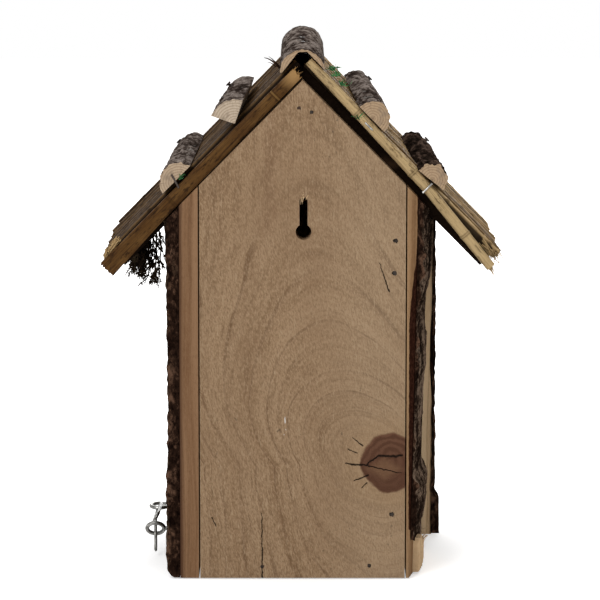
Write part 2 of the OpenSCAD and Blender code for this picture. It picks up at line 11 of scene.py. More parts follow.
import bmesh
import bpy
import numpy as np
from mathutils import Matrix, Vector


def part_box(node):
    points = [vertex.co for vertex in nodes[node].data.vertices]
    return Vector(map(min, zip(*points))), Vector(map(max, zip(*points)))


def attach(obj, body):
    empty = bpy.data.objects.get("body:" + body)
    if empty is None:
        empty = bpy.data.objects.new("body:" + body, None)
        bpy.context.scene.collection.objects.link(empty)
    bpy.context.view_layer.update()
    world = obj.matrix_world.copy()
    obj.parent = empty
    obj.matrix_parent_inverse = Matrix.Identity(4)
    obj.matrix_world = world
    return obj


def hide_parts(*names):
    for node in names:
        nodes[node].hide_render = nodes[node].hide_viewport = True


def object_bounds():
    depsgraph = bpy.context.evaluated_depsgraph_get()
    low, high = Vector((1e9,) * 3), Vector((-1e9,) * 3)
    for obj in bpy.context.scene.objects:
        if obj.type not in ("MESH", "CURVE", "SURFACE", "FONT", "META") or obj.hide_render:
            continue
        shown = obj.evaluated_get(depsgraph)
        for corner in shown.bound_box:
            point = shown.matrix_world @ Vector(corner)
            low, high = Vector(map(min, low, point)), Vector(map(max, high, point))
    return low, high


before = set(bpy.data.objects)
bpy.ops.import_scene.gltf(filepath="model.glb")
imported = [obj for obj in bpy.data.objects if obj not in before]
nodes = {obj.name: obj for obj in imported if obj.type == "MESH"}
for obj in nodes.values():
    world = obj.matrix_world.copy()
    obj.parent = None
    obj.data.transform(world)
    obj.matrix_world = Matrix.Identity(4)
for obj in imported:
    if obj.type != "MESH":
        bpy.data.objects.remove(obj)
cad_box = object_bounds()

# %% [markdown]
# The camera stands behind the box, a little above it and far away, so that the
# side walls vanish and the roof shows its top only as a thin band. A long lens
# could be swapped for a closer camera, but the logs would then look too deep.

# %% Camera
CAMERA_PLACE = (-0.0013, -2.0965, 0.4519)
AIM_POINT = (-0.0013, -0.0615, 0.1467)
LENS = 239.0
SENSOR_WIDTH = 36


def facing(place, target):
    """Turn that makes a camera or a lamp at place look at target: the tip from straight down, then the turn
    about Z."""
    look = np.array(target, float) - np.array(place, float)
    return math.atan2(math.hypot(look[0], look[1]), -look[2]), 0, math.atan2(-look[0], look[1])


scene = bpy.context.scene
scene.view_settings.view_transform = "Standard"

camera_data = bpy.data.cameras.new("camera")
camera_data.sensor_width = SENSOR_WIDTH
camera_data.lens = LENS
camera = bpy.data.objects.new("camera", camera_data)
scene.collection.objects.link(camera)
camera.location = CAMERA_PLACE
camera.rotation_euler = facing(camera.location, AIM_POINT)
scene.camera = camera
print("camera distance %.3f m" % math.dist(CAMERA_PLACE, AIM_POINT))

# %% [markdown]
# A product photo has white behind it. The world is white only for the camera,
# mirror and glass rays, and the real light comes from four large soft lamps and
# a dim world, at a level at which a painted colour comes out as it was chosen.

# %% World, lamps and floor
DIM_LIGHT = (1.0, 0.975, 0.94)
DIM_STRENGTH = 0.30
FLOOR_HALF = 3
FLOOR_DROP = 0.0006

world = bpy.data.worlds.new("studio")
scene.world = world
world.use_nodes = True
world.node_tree.nodes.clear()


def white_behind(tree, light_colour, light_strength):
    """Background shader: white at strength 1 for camera, glossy and transmission rays, the given light for
    all others."""
    path = tree.nodes.new("ShaderNodeLightPath")
    add1 = tree.nodes.new("ShaderNodeMath")
    add2 = tree.nodes.new("ShaderNodeMath")
    add1.operation = add2.operation = "ADD"
    add2.use_clamp = True
    tree.links.new(path.outputs["Is Camera Ray"], add1.inputs[0])
    tree.links.new(path.outputs["Is Glossy Ray"], add1.inputs[1])
    tree.links.new(add1.outputs[0], add2.inputs[0])
    tree.links.new(path.outputs["Is Transmission Ray"], add2.inputs[1])
    light = tree.nodes.new("ShaderNodeBackground")
    light.inputs["Color"].default_value = (*light_colour, 1)
    light.inputs["Strength"].default_value = light_strength
    white = tree.nodes.new("ShaderNodeBackground")
    white.inputs["Color"].default_value = (1, 1, 1, 1)
    mix = tree.nodes.new("ShaderNodeMixShader")
    out = tree.nodes.new("ShaderNodeOutputWorld")
    tree.links.new(add2.outputs[0], mix.inputs["Fac"])
    tree.links.new(light.outputs[0], mix.inputs[1])
    tree.links.new(white.outputs[0], mix.inputs[2])
    tree.links.new(mix.outputs[0], out.inputs["Surface"])


white_behind(world.node_tree, DIM_LIGHT, DIM_STRENGTH)


def soft_lamp(name, place, target, size, power):
    """A square area lamp at place that faces target."""
    data = bpy.data.lights.new(name, "AREA")
    data.energy = power
    data.size = size
    lamp = bpy.data.objects.new(name, data)
    scene.collection.objects.link(lamp)
    lamp.location = place
    lamp.rotation_euler = facing(place, target)
    return lamp


soft_lamp("key_lamp", (-0.75, -1.35, 1.25), (0, 0, 0.13), 0.8, 16.5)
soft_lamp("fill_lamp", (1.1, -1.2, 0.55), (0, 0, 0.12), 1.0, 6.0)
soft_lamp("front_lamp", (0.2, 1.5, 0.9), (0, 0, 0.12), 1.2, 14)
soft_lamp("top_lamp", (0, 0.1, 1.5), (0, 0, 0.1), 1.0, 7)

floor_data = bpy.data.meshes.new("floor")
floor_corners = [(FLOOR_HALF * x, FLOOR_HALF * y, 0) for x, y in ((-1, -1), (1, -1), (1, 1), (-1, 1))]
floor_data.from_pydata(floor_corners, [], [(0, 1, 2, 3)])
floor = bpy.data.objects.new("floor", floor_data)
scene.collection.objects.link(floor)
floor.location.z = -FLOOR_DROP
print("lamps:", len(bpy.data.lights))

# %% [markdown]
# Materials are built from node trees. Wiring them by hand makes long scripts, so
# two helpers keep them short. A Value is a socket that can stand in a sum: a + b
# adds a Math node. A Recipe adds the nodes of patterns, colours and bump, so each
# finish reads as coordinates, patterns, colours, relief.


# %% A short hand for node trees
class Value:
    """A socket that can be used in sums: +, -, *, /, ** and abs each add one Math node."""

    def __init__(self, recipe, socket):
        self.recipe, self.socket = recipe, socket

    def __add__(self, other):
        return self.recipe.math("ADD", self, other)

    def __radd__(self, other):
        return self.recipe.math("ADD", other, self)

    def __sub__(self, other):
        return self.recipe.math("SUBTRACT", self, other)

    def __rsub__(self, other):
        return self.recipe.math("SUBTRACT", other, self)

    def __mul__(self, other):
        return self.recipe.math("MULTIPLY", self, other)

    def __truediv__(self, other):
        return self.recipe.math("DIVIDE", self, other)

    def __pow__(self, other):
        return self.recipe.math("POWER", self, other)

    def __abs__(self):
        return self.recipe.math("ABSOLUTE", self)


class Recipe:
    """Adds nodes to a tree. What a method takes is a Value, a socket, a number or a colour; it gives a
    Value."""

    def __init__(self, tree):
        self.tree = tree

    def node(self, kind, **settings):
        """A new node with its settings, such as operation or blend_type."""
        n = self.tree.nodes.new(kind)
        for name, setting in settings.items():
            setattr(n, name, setting)
        return n

    def feed(self, value, socket):
        """Links the value to the socket, or sets the socket to it."""
        value = value.socket if isinstance(value, Value) else value
        if isinstance(value, bpy.types.NodeSocket):
            self.tree.links.new(value, socket)
        elif value is not None:
            is_plain_colour = isinstance(value, (tuple, list)) and len(value) == 3 and socket.type == "RGBA"
            socket.default_value = (*value, 1) if is_plain_colour else value

    def fill(self, n, **values):
        """Feeds a node's inputs by their names, with _ for a space."""
        for name, value in values.items():
            self.feed(value, n.inputs[name.replace("_", " ")])

    def math(self, operation, *values, clamp=False):
        """One Math node on one or two values."""
        n = self.node("ShaderNodeMath", operation=operation, use_clamp=clamp)
        for value, socket in zip(values, n.inputs):
            self.feed(value, socket)
        return Value(self, n.outputs[0])

    def length(self, x, y):
        """Length of the flat vector x, y: the root of x x + y y."""
        return self.math("SQRT", x * x + y * y)

    def object_place(self):
        """The piece's own coordinates in metres, which are the frame's."""
        return self.node("ShaderNodeTexCoord").outputs["Object"]

    def attribute(self, name, kind="Vector"):
        """A value that each point of the mesh carries."""
        return Value(self, self.node("ShaderNodeAttribute", attribute_name=name).outputs[kind])

    def split(self, vector):
        """The three parts of a vector."""
        n = self.node("ShaderNodeSeparateXYZ")
        self.feed(vector, n.inputs[0])
        return [Value(self, out) for out in n.outputs]

    def join(self, *parts):
        """A vector of three parts."""
        n = self.node("ShaderNodeCombineXYZ")
        for value, socket in zip(parts, n.inputs):
            self.feed(value, socket)
        return n.outputs[0]

    def stretch(self, vector, scale, offset=(0, 0, 0)):
        """The vector times scale, then moved by offset."""
        n = self.node("ShaderNodeMapping")
        self.fill(n, Vector=vector, Scale=scale, Location=offset)
        return n.outputs[0]

    def noise(self, vector, scale, detail=3, rough=0.5, distort=0, output="Fac"):
        """Noise texture with this many octaves, each rough times as strong as the one before."""
        n = self.node("ShaderNodeTexNoise")
        self.fill(n, Vector=vector, Scale=scale, Detail=detail, Roughness=rough, Distortion=distort)
        return Value(self, n.outputs[output])

    def pattern(self, scale, detail, rough=0.5, offset=(0, 0, 0), place=None, output="Fac"):
        """Noise on the piece's own coordinates, or on place, with its own scale along each axis."""
        return self.noise(
            self.stretch(place or self.object_place(), scale, offset), 1.0, detail, rough, output=output,
        )

    def streaks(self, parts, scales, detail, rough=0.5, distort=0):
        """Noise on three values, each times its own scale: a small scale draws the noise out along that
        value."""
        return self.noise(
            self.join(*[part * scale for part, scale in zip(parts, scales)]), 1.0, detail, rough, distort,
        )

    def ramp(self, value, *stops):
        """Colours at places from 0 to 1, blended between."""
        n = self.node("ShaderNodeValToRGB")
        self.feed(value, n.inputs[0])
        e = n.color_ramp.elements
        while len(e) < len(stops):
            e.new(0.5)
        for element, (place, colour) in zip(e, stops):
            element.position, element.color = place, (*colour, 1)
        return n.outputs[0]

    def step(self, value, low, high, out_low=0.0, out_high=1.0):
        """Smooth step of value: out_low up to low, out_high from high on."""
        n = self.node("ShaderNodeMapRange", interpolation_type="SMOOTHSTEP")
        self.fill(n, Value=value, From_Min=low, From_Max=high, To_Min=out_low, To_Max=out_high)
        return Value(self, n.outputs[0])

    def thin_line(self, value, middle, core, edge, strength=1.0):
        """A line where value is near middle: strength within core of it, nothing beyond edge."""
        return self.step(abs(value - middle), core, edge, strength, 0)

    def mix(self, amount, a, b):
        """Colour a where amount is 0, colour b where it is 1."""
        n = self.node("ShaderNodeMix", data_type="RGBA", blend_type="MIX", clamp_factor=True)
        for value, socket in ((amount, n.inputs[0]), (a, n.inputs[6]), (b, n.inputs[7])):
            self.feed(value, socket)
        return n.outputs[2]

    def tint(self, colour, other, value, low, high, share_low=0.0, share_high=1.0):
        """Lays another colour over colour, by the smooth step of value."""
        return self.mix(self.step(value, low, high, share_low, share_high), colour, other)

    def bump(self, height, distance, strength=1.0):
        """Normals of a relief of this height."""
        n = self.node("ShaderNodeBump")
        self.fill(n, Distance=distance, Strength=strength, Height=height)
        return n.outputs[0]

    def group(self, tree, **values):
        """Places a node group; gives its outputs by name."""
        n = self.node("ShaderNodeGroup", node_tree=tree)
        self.fill(n, **values)
        return {out.name: Value(self, out) for out in n.outputs}


def new_finish(name, rough=0.8, specular=0.3, metallic=0.0):
    """An empty material with a Principled shader: the material, its recipe and the shader's inputs."""
    material = bpy.data.materials.new(name)
    material.use_nodes = True
    material.node_tree.nodes.clear()
    r = Recipe(material.node_tree)
    out, shader = r.node("ShaderNodeOutputMaterial"), r.node("ShaderNodeBsdfPrincipled")
    r.feed(shader.outputs[0], out.inputs["Surface"])
    r.fill(shader, Roughness=rough, Specular_IOR_Level=specular, Metallic=metallic)
    return material, r, shader.inputs


def new_group(name, inputs, outputs):
    """A node group with named inputs (name, kind, default) and outputs (name, kind): group, recipe, both."""
    tree = bpy.data.node_groups.new(name, "ShaderNodeTree")
    for label, kind, default in inputs:
        socket = tree.interface.new_socket(label, in_out="INPUT", socket_type=kind)
        if default is not None:
            socket.default_value = default
    for label, kind in outputs:
        tree.interface.new_socket(label, in_out="OUTPUT", socket_type=kind)
    r = Recipe(tree)
    given = {out.name: Value(r, out) for out in r.node("NodeGroupInput").outputs if out.name}
    return tree, r, given, r.node("NodeGroupOutput").inputs


FLOAT, VECTOR = "NodeSocketFloat", "NodeSocketVector"

floor_finish, r, shader = new_finish("floor_paper", rough=0.9, specular=0.0)
PAPER = (0.86, 0.86, 0.86)
GLOW_NEAR, GLOW_FAR = 0.42, 1.0
path = r.node("ShaderNodeLightPath").outputs
seen = r.math("MAXIMUM", path["Is Camera Ray"], path["Is Glossy Ray"])
spot = r.split(r.object_place())
away = r.step(r.length(spot[0], spot[1]), 0.05, 0.19)
r.feed(PAPER, shader["Base Color"])
r.feed((1, 1, 1), shader["Emission Color"])
r.feed(seen * (GLOW_NEAR + away * (GLOW_FAR - GLOW_NEAR)), shader["Emission Strength"])
floor_data.materials.append(floor_finish)

# %% [markdown]
# Sawn wood shows three things at once: broad bands of early and late wood, thin
# dark lines where a ring ends, and the fuzzy torn surface that a saw leaves. A
# group makes them from one coordinate that runs across the rings, so every
# board can bend its own rings and still use the same wood.

# %% Group: sawn grain
grain, r, given, gives = new_group(
    "sawn_grain",
    [
        ("Across", FLOAT, 0), ("Along", FLOAT, 0), ("Depth", FLOAT, 0), ("Ring", FLOAT, 60.0),
        ("Fuzz", FLOAT, 1.0),
    ],
    [("Band", FLOAT), ("Line", FLOAT), ("Fibre", FLOAT), ("Height", FLOAT)],
)
across = given["Across"] * given["Ring"]
place = r.join(across, given["Along"] * 4.0, given["Depth"] * 10.0)
band = r.noise(place, 1.0, 2, 0.5, 0.2)
line_field = r.noise(r.stretch(place, (1.25, 0.5, 1), (7, 3, 1)), 1.0, 1, 0.4, 0.1)
line = r.step(abs(line_field - 0.5), 0.0, 0.02, 1, 0)
fibre = r.streaks((given["Across"], given["Along"], given["Depth"]), (900.0, 60.0, 300.0), 4, 0.65)
fuzz = r.streaks((given["Across"], given["Along"], given["Depth"]), (1500.0, 700.0, 900.0), 3, 0.7)
r.feed(band, gives["Band"])
r.feed(line, gives["Line"])
r.feed(fibre, gives["Fibre"])
fuzzy = fuzz * given["Fuzz"]
r.feed(fibre * 0.5 + (fuzzy - line * 0.3), gives["Height"])
print("group", grain.name)

# %% [markdown]
# A check is a thin black split in dry wood. It is drawn as a line between two
# points of the board, a little wavy, that gets thinner towards its far end.

# %% Group: one straight check
check, r, given, gives = new_group(
    "wood_check",
    [
        ("X", FLOAT, 0), ("Z", FLOAT, 0), ("X1", FLOAT, 0), ("Z1", FLOAT, 0), ("X2", FLOAT, 1),
        ("Z2", FLOAT, 0), ("Width", FLOAT, 0.4), ("Taper", FLOAT, 0.6),
    ],
    [("Mask", FLOAT)],
)
px = given["X"] - given["X1"]
pz = given["Z"] - given["Z1"]
dx = given["X2"] - given["X1"]
dz = given["Z2"] - given["Z1"]
long2 = dx * dx + dz * dz
t = r.math("DIVIDE", px * dx + pz * dz, long2, clamp=True)
ex = px - t * dx
ez = pz - t * dz
gap = r.length(ex, ez)
thin = given["Width"] * (1.0 - t * given["Taper"])
r.feed(r.math("SUBTRACT", 1.35, gap / thin, clamp=True), gives["Mask"])
print("group", check.name)

# %% [markdown]
# The back board was cut beside a branch, so its rings run in tall arches round a
# dark knot at the right edge. Bending the coordinate does this: the distance
# from the branch grows sideways in millimetres but up and down only to a limit,
# so near rings close over the knot and far rings run straight to the gable.

# %% Finish: back board, the rings' coordinate
BRANCH_X, BRANCH_Z = 42.9, 60.5
WANDER_MM = 16.0
UP_FADE, UP_LIMIT, UP_LEAN = 60.0, 73.0, 44.0
DOWN_FADE, DOWN_LIMIT = 41.0, 57.0
STRAIGHT_AT = 84.0

board_finish, r, shader = new_finish("back_board_wood", rough=0.85, specular=0.02)
x_mm, y_mm, z_mm = r.split(r.stretch(r.object_place(), (1000, 1000, 1000)))
wander = r.split(r.pattern((14, 14, 9), 2, output="Color"))
bent_x = x_mm + (wander[0] - 0.5) * WANDER_MM
bent_z = z_mm + (wander[1] - 0.5) * WANDER_MM
up = 1.0 - r.math("EXPONENT", r.math("MAXIMUM", bent_z - BRANCH_Z, 0.0) / -UP_FADE)
down = 1.0 - r.math("EXPONENT", r.math("MAXIMUM", BRANCH_Z - bent_z, 0.0) / -DOWN_FADE)
side = bent_x - BRANCH_X + up * UP_LEAN
rise = (up * UP_LIMIT + down * DOWN_LIMIT) / (1.0 + (side / STRAIGHT_AT) ** 4.0)
arch = r.length(side, rise)
g = r.group(grain, Across=arch / 1000.0, Along=z_mm / 1000.0, Depth=y_mm / 1000.0, Ring=150.0, Fuzz=1.0)
print("rings bend round x %.1f, z %.1f mm" % (BRANCH_X, BRANCH_Z))

# %% [markdown]
# Each year's ring darkens slowly towards its late wood and ends in a thin line.
# The fraction of a running count of rings gives both: its slope is the late
# wood, and its jump is the line. Near the gable the rings fade and straight
# upright lines take over, because the branch is far away there.

# %% Finish: back board, rings
RING_MM, RING_SHAKE, RING_END = 8.3, 1.3, 0.93
GABLE_LOW, GABLE_HIGH = 158.0, 205.0
STAIN_X = -16.5

colour = r.ramp(
    g["Band"], (0.28, (0.232, 0.144, 0.080)), (0.5, (0.275, 0.178, 0.102)), (0.72, (0.310, 0.205, 0.121)),
)
colour = r.mix(g["Line"] * 0.16, colour, (0.13, 0.072, 0.038))
shake = r.streaks((arch, z_mm, x_mm), (0.055, 0.012, 0.006), 2)
turns = r.math("FRACT", arch / RING_MM + shake * RING_SHAKE)
faded = r.step(r.pattern((30, 30, 16), 2, 0.6, (2, 7, 1)), 0.36, 0.60, 0.35, 1.0)
calm = r.step(z_mm, GABLE_LOW, GABLE_HIGH, 1.0, 0.22)
late = r.step(turns, 0.35, 0.90, 0.0, 0.24) * (calm * r.step(turns, RING_END, 0.99, 1, 0))
colour = r.mix(late, colour, (0.165, 0.096, 0.052))
ring_line = r.thin_line(turns, RING_END, 0.025, 0.062, 0.55)
colour = r.mix(ring_line * (faded * calm), colour, (0.10, 0.052, 0.028))
upright = r.streaks((x_mm, y_mm, z_mm), (0.22, 0.1, 0.006), 3, 0.65, 0.1)
upright_line = r.thin_line(upright, 0.5, 0.0, 0.035, 0.42)
colour = r.mix(upright_line * r.step(z_mm, 150.0, 200.0), colour, (0.14, 0.078, 0.042))
stain_off = abs(x_mm - STAIN_X + (wander[2] - 0.5) * 8.0)
stain = r.step(stain_off, 1.0, 5.5, 0.42, 0) * r.step(z_mm, 165.0, 190.0)
colour = r.mix(stain, colour, (0.175, 0.098, 0.055))
print("ring every %.1f mm" % RING_MM)

# %% [markdown]
# The saw leaves its own marks over the rings: pale torn fibres, dark gaps
# between them, a slanting weave of both, and specks of dirt where rain has run.
# Each is a noise, stretched its own way, that lays a colour over the board.

# %% Finish: back board, saw marks and dirt
WEAVE_SLANT = 0.22

colour = r.tint(colour, (0.375, 0.255, 0.155), g["Fibre"], 0.42, 0.66, 0.0, 0.42)
colour = r.tint(colour, (0.150, 0.090, 0.050), g["Fibre"], 0.30, 0.46, 0.38, 0.0)
slanted = (x_mm + z_mm * WEAVE_SLANT, y_mm, z_mm - x_mm * 0.2)
weave = r.streaks(slanted, (1.45, 0.8, 0.50), 3, 0.75)
colour = r.tint(colour, (0.41, 0.29, 0.18), weave, 0.50, 0.62, 0.0, 0.50)
colour = r.tint(colour, (0.140, 0.082, 0.045), weave, 0.37, 0.48, 0.52, 0.0)
fleck = r.streaks((x_mm, y_mm, z_mm), (0.9, 0.8, 0.16), 2, 0.6)
colour = r.tint(colour, (0.45, 0.33, 0.21), fleck, 0.60, 0.72, 0.0, 0.45)
colour = r.tint(colour, (0.225, 0.140, 0.080), r.pattern((22, 22, 10), 3, 0.6), 0.42, 0.68, 0.0, 0.32)
speck = r.pattern((420, 420, 260), 2, 0.6)
dirt = r.step(speck, 0.66, 0.74) * r.step(r.pattern((30, 30, 22), 2, 0.5, (3, 1, 5)), 0.5, 0.62)
colour = r.mix(dirt * 0.75, colour, (0.09, 0.06, 0.04))
print("saw marks ready")

# %% [markdown]
# The knot is the branch itself, cut across: a dark round with its own fine
# rings, a paler middle and a light halo where the board's fibres part round it.

# %% Finish: back board, the knot
KNOT_X, KNOT_Z = 45.6, 61.5
KNOT_HALF_WIDTH, KNOT_HALF_HEIGHT = 15.2, 16.0
PALE_X, PALE_Z = 42.5, 58.0

out_from_knot = r.length((x_mm - KNOT_X) / KNOT_HALF_WIDTH, (z_mm - KNOT_Z) / KNOT_HALF_HEIGHT)
knot_noise = r.pattern((90, 90, 90), 3)
out_from_knot = out_from_knot + (knot_noise - 0.5) * 0.35
knot = r.step(out_from_knot, 0.93, 1.02, 1, 0)
halo = r.step(out_from_knot, 1.0, 1.9, 1, 0)
rings = r.math("SINE", out_from_knot * 30.0 + knot_noise * 9.0)
upper = r.step(z_mm, 55.0, 75.0, 0.25, 0.8)
knot_colour = r.mix(r.step(rings, -1, 1) * upper, (0.092, 0.043, 0.026), (0.142, 0.070, 0.043))
from_pale = abs((x_mm - PALE_X) / 10.0) + abs((z_mm - PALE_Z) / 6.5)
knot_colour = r.mix(r.step(from_pale, 0.4, 1.3, 1, 0) * 0.6, knot_colour, (0.19, 0.105, 0.058))
colour = r.tint(colour, (0.42, 0.315, 0.205), x_mm, 0.0, 42.0, 0.0, 0.22)
colour = r.mix(halo * 0.30, colour, (0.33, 0.215, 0.118))
colour = r.mix(knot, colour, knot_colour)
print("knot at x %.1f, z %.1f mm" % (KNOT_X, KNOT_Z))

# %% [markdown]
# Checks run out of the knot and up from the foot, and three light scuffs stand
# left of it. Their places are given as they lie in the picture, across and down
# in pixels, and one function turns them into millimetres on the board.

# %% Finish: back board, checks and scuffs
PIXEL_MM = 0.52
MIDDLE_PX, FOOT_PX = 302.5, 581.0


def board_mm(across_px, down_px):
    """A place on the board in mm, from its place in the picture: x from the middle, z from the foot."""
    return (across_px - MIDDLE_PX) * PIXEL_MM, (FOOT_PX - down_px) * PIXEL_MM


# start across, start down, end across, end down (pixels), width (mm), taper
CHECKS_PX = [
    (351.0, 465.0, 345.5, 463.5, 0.45, 0.5), (351.0, 465.0, 359.0, 465.2, 0.62, 0.3),
    (359.0, 465.2, 366.5, 466.3, 0.5, 0.2), (366.5, 466.3, 371.5, 461.0, 0.45, 0.1),
    (371.5, 461.0, 379.0, 456.3, 0.5, 0.1), (379.0, 456.3, 396.0, 457.0, 0.55, 0.0),
    (396.0, 457.0, 402.0, 455.6, 0.55, 0.0), (367.0, 466.0, 384.0, 470.5, 0.32, 0.2),
    (384.0, 470.5, 402.0, 474.0, 0.28, 0.4), (362.5, 446.0, 352.5, 437.5, 0.36, 0.6),
    (357.0, 453.5, 348.0, 449.0, 0.34, 0.6), (368.0, 476.3, 354.5, 481.5, 0.5, 0.5),
    (262.2, 581.0, 261.8, 515.0, 0.42, 0.55), (367.0, 484.0, 362.0, 489.0, 0.3, 0.5),
    (388.5, 290.0, 379.0, 262.0, 0.4, 0.6), (212.0, 519.0, 216.0, 528.0, 0.35, 0.5),
]
WOBBLE_MM = 1.6
cx = x_mm + (r.pattern((420, 1, 420), 2) - 0.5) * WOBBLE_MM
cz = z_mm + (r.pattern((420, 1, 420), 2, offset=(9, 0, 4)) - 0.5) * WOBBLE_MM
split_mask = None
for x1, z1, x2, z2, width, taper in CHECKS_PX:
    (x1, z1), (x2, z2) = board_mm(x1, z1), board_mm(x2, z2)
    one = r.group(check, X=cx, Z=cz, X1=x1, Z1=z1, X2=x2, Z2=z2, Width=width, Taper=taper)["Mask"]
    split_mask = one if split_mask is None else r.math("MAXIMUM", split_mask, one)
colour = r.mix(split_mask, colour, (0.012, 0.008, 0.006))

# across, down, width, height (pixels), strength
SCUFFS_PX = [(285.3, 420.5, 0.7, 3.8, 0.9), (285.8, 430.0, 0.7, 0.8, 0.6), (283.9, 434.8, 0.6, 0.7, 0.6)]
for scuff_x, scuff_z, wide, tall, strength in SCUFFS_PX:
    middle_x, middle_z = board_mm(scuff_x, scuff_z)
    qx = (cx - middle_x) / (wide * PIXEL_MM)
    qz = (cz - middle_z) / (tall * PIXEL_MM)
    colour = r.tint(colour, (0.62, 0.58, 0.54), qx * qx + qz * qz, 0.5, 1.3, strength, 0)
r.feed(colour, shader["Base Color"])
height = g["Height"] + weave * 1.1 - split_mask * 2.5
r.feed(r.bump(height, 0.00035, 0.8), shader["Normal"])
print("checks:", len(CHECKS_PX))

# %% [markdown]
# The other boards share one recipe with their own colours. Their rings run
# straight, so the coordinate across is simply the width or the thickness.


# %% Finish: plain boards
RING_LINE = (0.09, 0.048, 0.026)
INNER_BARK_X = 0.0551
INNER_BARK_IN_SHADE_DARK, INNER_BARK_IN_SHADE_LIGHT = (0.017, 0.006, 0.0035), (0.034, 0.013, 0.008)


def board_wood(name, dark, mid, light, ring, axes, edge=None, shaded_inner_bark=False):
    """Straight-grained wood with this many rings per metre.

    axes names the coordinates across, along and into the board. edge is a strip from x0 to x1 that takes a
    colour by an amount. shaded_inner_bark darkens the wood from where the bark's smooth inside starts: the
    inside's own dark colour, deepened by painted shade.
    """
    material, r, shader = new_finish(name, rough=0.85, specular=0.0)
    q = dict(zip("xyz", r.split(r.object_place())))
    wave = r.pattern((25, 25, 8), 2, 0.5)
    across = q[axes[0]] + (wave - 0.5) * 0.012
    g = r.group(grain, Across=across, Along=q[axes[1]], Depth=q[axes[2]], Ring=ring, Fuzz=1.0)
    colour = r.ramp(g["Band"], (0.28, dark), (0.5, mid), (0.72, light))
    colour = r.mix(g["Line"] * 0.4, colour, RING_LINE)
    colour = r.tint(colour, light, g["Fibre"], 0.35, 0.7, 0.0, 0.3)
    speckle = r.streaks((q[axes[0]], q[axes[1]], q[axes[2]]), (1300.0, 500.0, 900.0), 3, 0.75)
    colour = r.tint(colour, light, speckle, 0.5, 0.68, 0.0, 0.3)
    colour = r.tint(colour, dark, speckle, 0.32, 0.46, 0.35, 0.0)
    if edge:
        x0, x1, edge_colour, amount = edge
        colour = r.tint(colour, edge_colour, q["x"] + wave * 0.002, x0 + 0.001, x1 + 0.001, amount, 0.0)
    # The bark's smooth inside: its own dark reddish colour, deepened by painted shade.
    if shaded_inner_bark:
        widen = r.step(q["z"], 0.130, 0.182, 0.0, 0.0040)
        bare = r.step(q["z"], 0.022, 0.026, 0.012, 0.0)
        ragged = (r.pattern((1, 1, 160), 3, 0.6) - 0.5) * 0.0012
        past = q["x"] - (INNER_BARK_X + widen + (bare + ragged))
        inner = r.tint(INNER_BARK_IN_SHADE_DARK, INNER_BARK_IN_SHADE_LIGHT, speckle, 0.45, 0.62)
        colour = r.tint(colour, inner, past, -0.0001, 0.0003)
    r.feed(colour, shader["Base Color"])
    r.feed(r.bump(g["Height"], 0.0003, 0.7), shader["Normal"])
    return material


plain_finish = board_wood(
    "sawn_wood", (0.19, 0.12, 0.066), (0.26, 0.165, 0.095), (0.31, 0.205, 0.12), 90.0, "xyz",
)
post_finish = board_wood(
    "post_wood", (0.14, 0.07, 0.035), (0.208, 0.114, 0.059), (0.28, 0.165, 0.091), 300.0, "xzy",
    edge=(-0.064, -0.0606, (0.055, 0.024, 0.015), 0.9),
)
wall_finish = board_wood(
    "wall_wood", (0.15, 0.078, 0.037), (0.215, 0.121, 0.06), (0.31, 0.19, 0.1), 300.0, "xzy",
    shaded_inner_bark=True,
)
# The slab's wood is pale pine, painted paler still as painted light for its strip that lies in shade behind
# the right wall.
slab_wood_and_painted_light = board_wood(
    "slab_wood", (0.5, 0.335, 0.19), (0.62, 0.43, 0.25), (0.7, 0.515, 0.32), 200.0, "xzy",
)
# The roof boards are painted nearly black: painted shade for their rear ends, deep in shadow behind the back
# board's gable.
roof_painted_shade = board_wood(
    "roof_wood", (0.005, 0.003, 0.002), (0.011, 0.0066, 0.0042), (0.026, 0.0155, 0.0095), 200.0, "yxz",
)
print("board finishes ready")


# %% [markdown]
# Bark is what the walls and logs wear. Its colour follows its relief: pits are
# nearly black, plates are grey-brown and worn ridges are paler, partly the bark's
# own colour and partly painted shade in the pits and painted light on the ridges.
# The relief is in the mesh already, so the finish reads it from the points and
# adds only what is finer than the mesh: crumbs, cracks and spots of lichen.

# %% Group: bark grain
bark_group, r, given, gives = new_group(
    "bark_grain",
    [("Place", VECTOR, None), ("Relief", FLOAT, 0.0), ("Scale", FLOAT, 1.0)],
    [("Tone", FLOAT), ("Crack", FLOAT), ("Spot", FLOAT), ("Height", FLOAT)],
)
scaled = r.node("ShaderNodeVectorMath", operation="SCALE")
r.feed(given["Place"], scaled.inputs[0])
r.feed(given["Scale"], scaled.inputs["Scale"])
crumbs = r.noise(scaled.outputs[0], 420.0, 5, 0.72)
broad = r.noise(scaled.outputs[0], 60.0, 3, 0.6)
field = r.noise(scaled.outputs[0], 240.0, 2, 0.55, 0.3)
crack = r.step(abs(field - 0.5), 0.0, 0.018, 1, 0)
# The relief's share paints shade into the pits and light onto the ridges, over the bark's own tone.
tone = given["Relief"] * 0.2 + crumbs * 0.75 + broad * 0.25
r.feed(tone, gives["Tone"])
r.feed(crack, gives["Crack"])
r.feed(r.step(r.noise(scaled.outputs[0], 130.0, 3, 0.7), 0.60, 0.68), gives["Spot"])
r.feed(crumbs - crack * 0.25, gives["Height"])
print("group", bark_group.name)


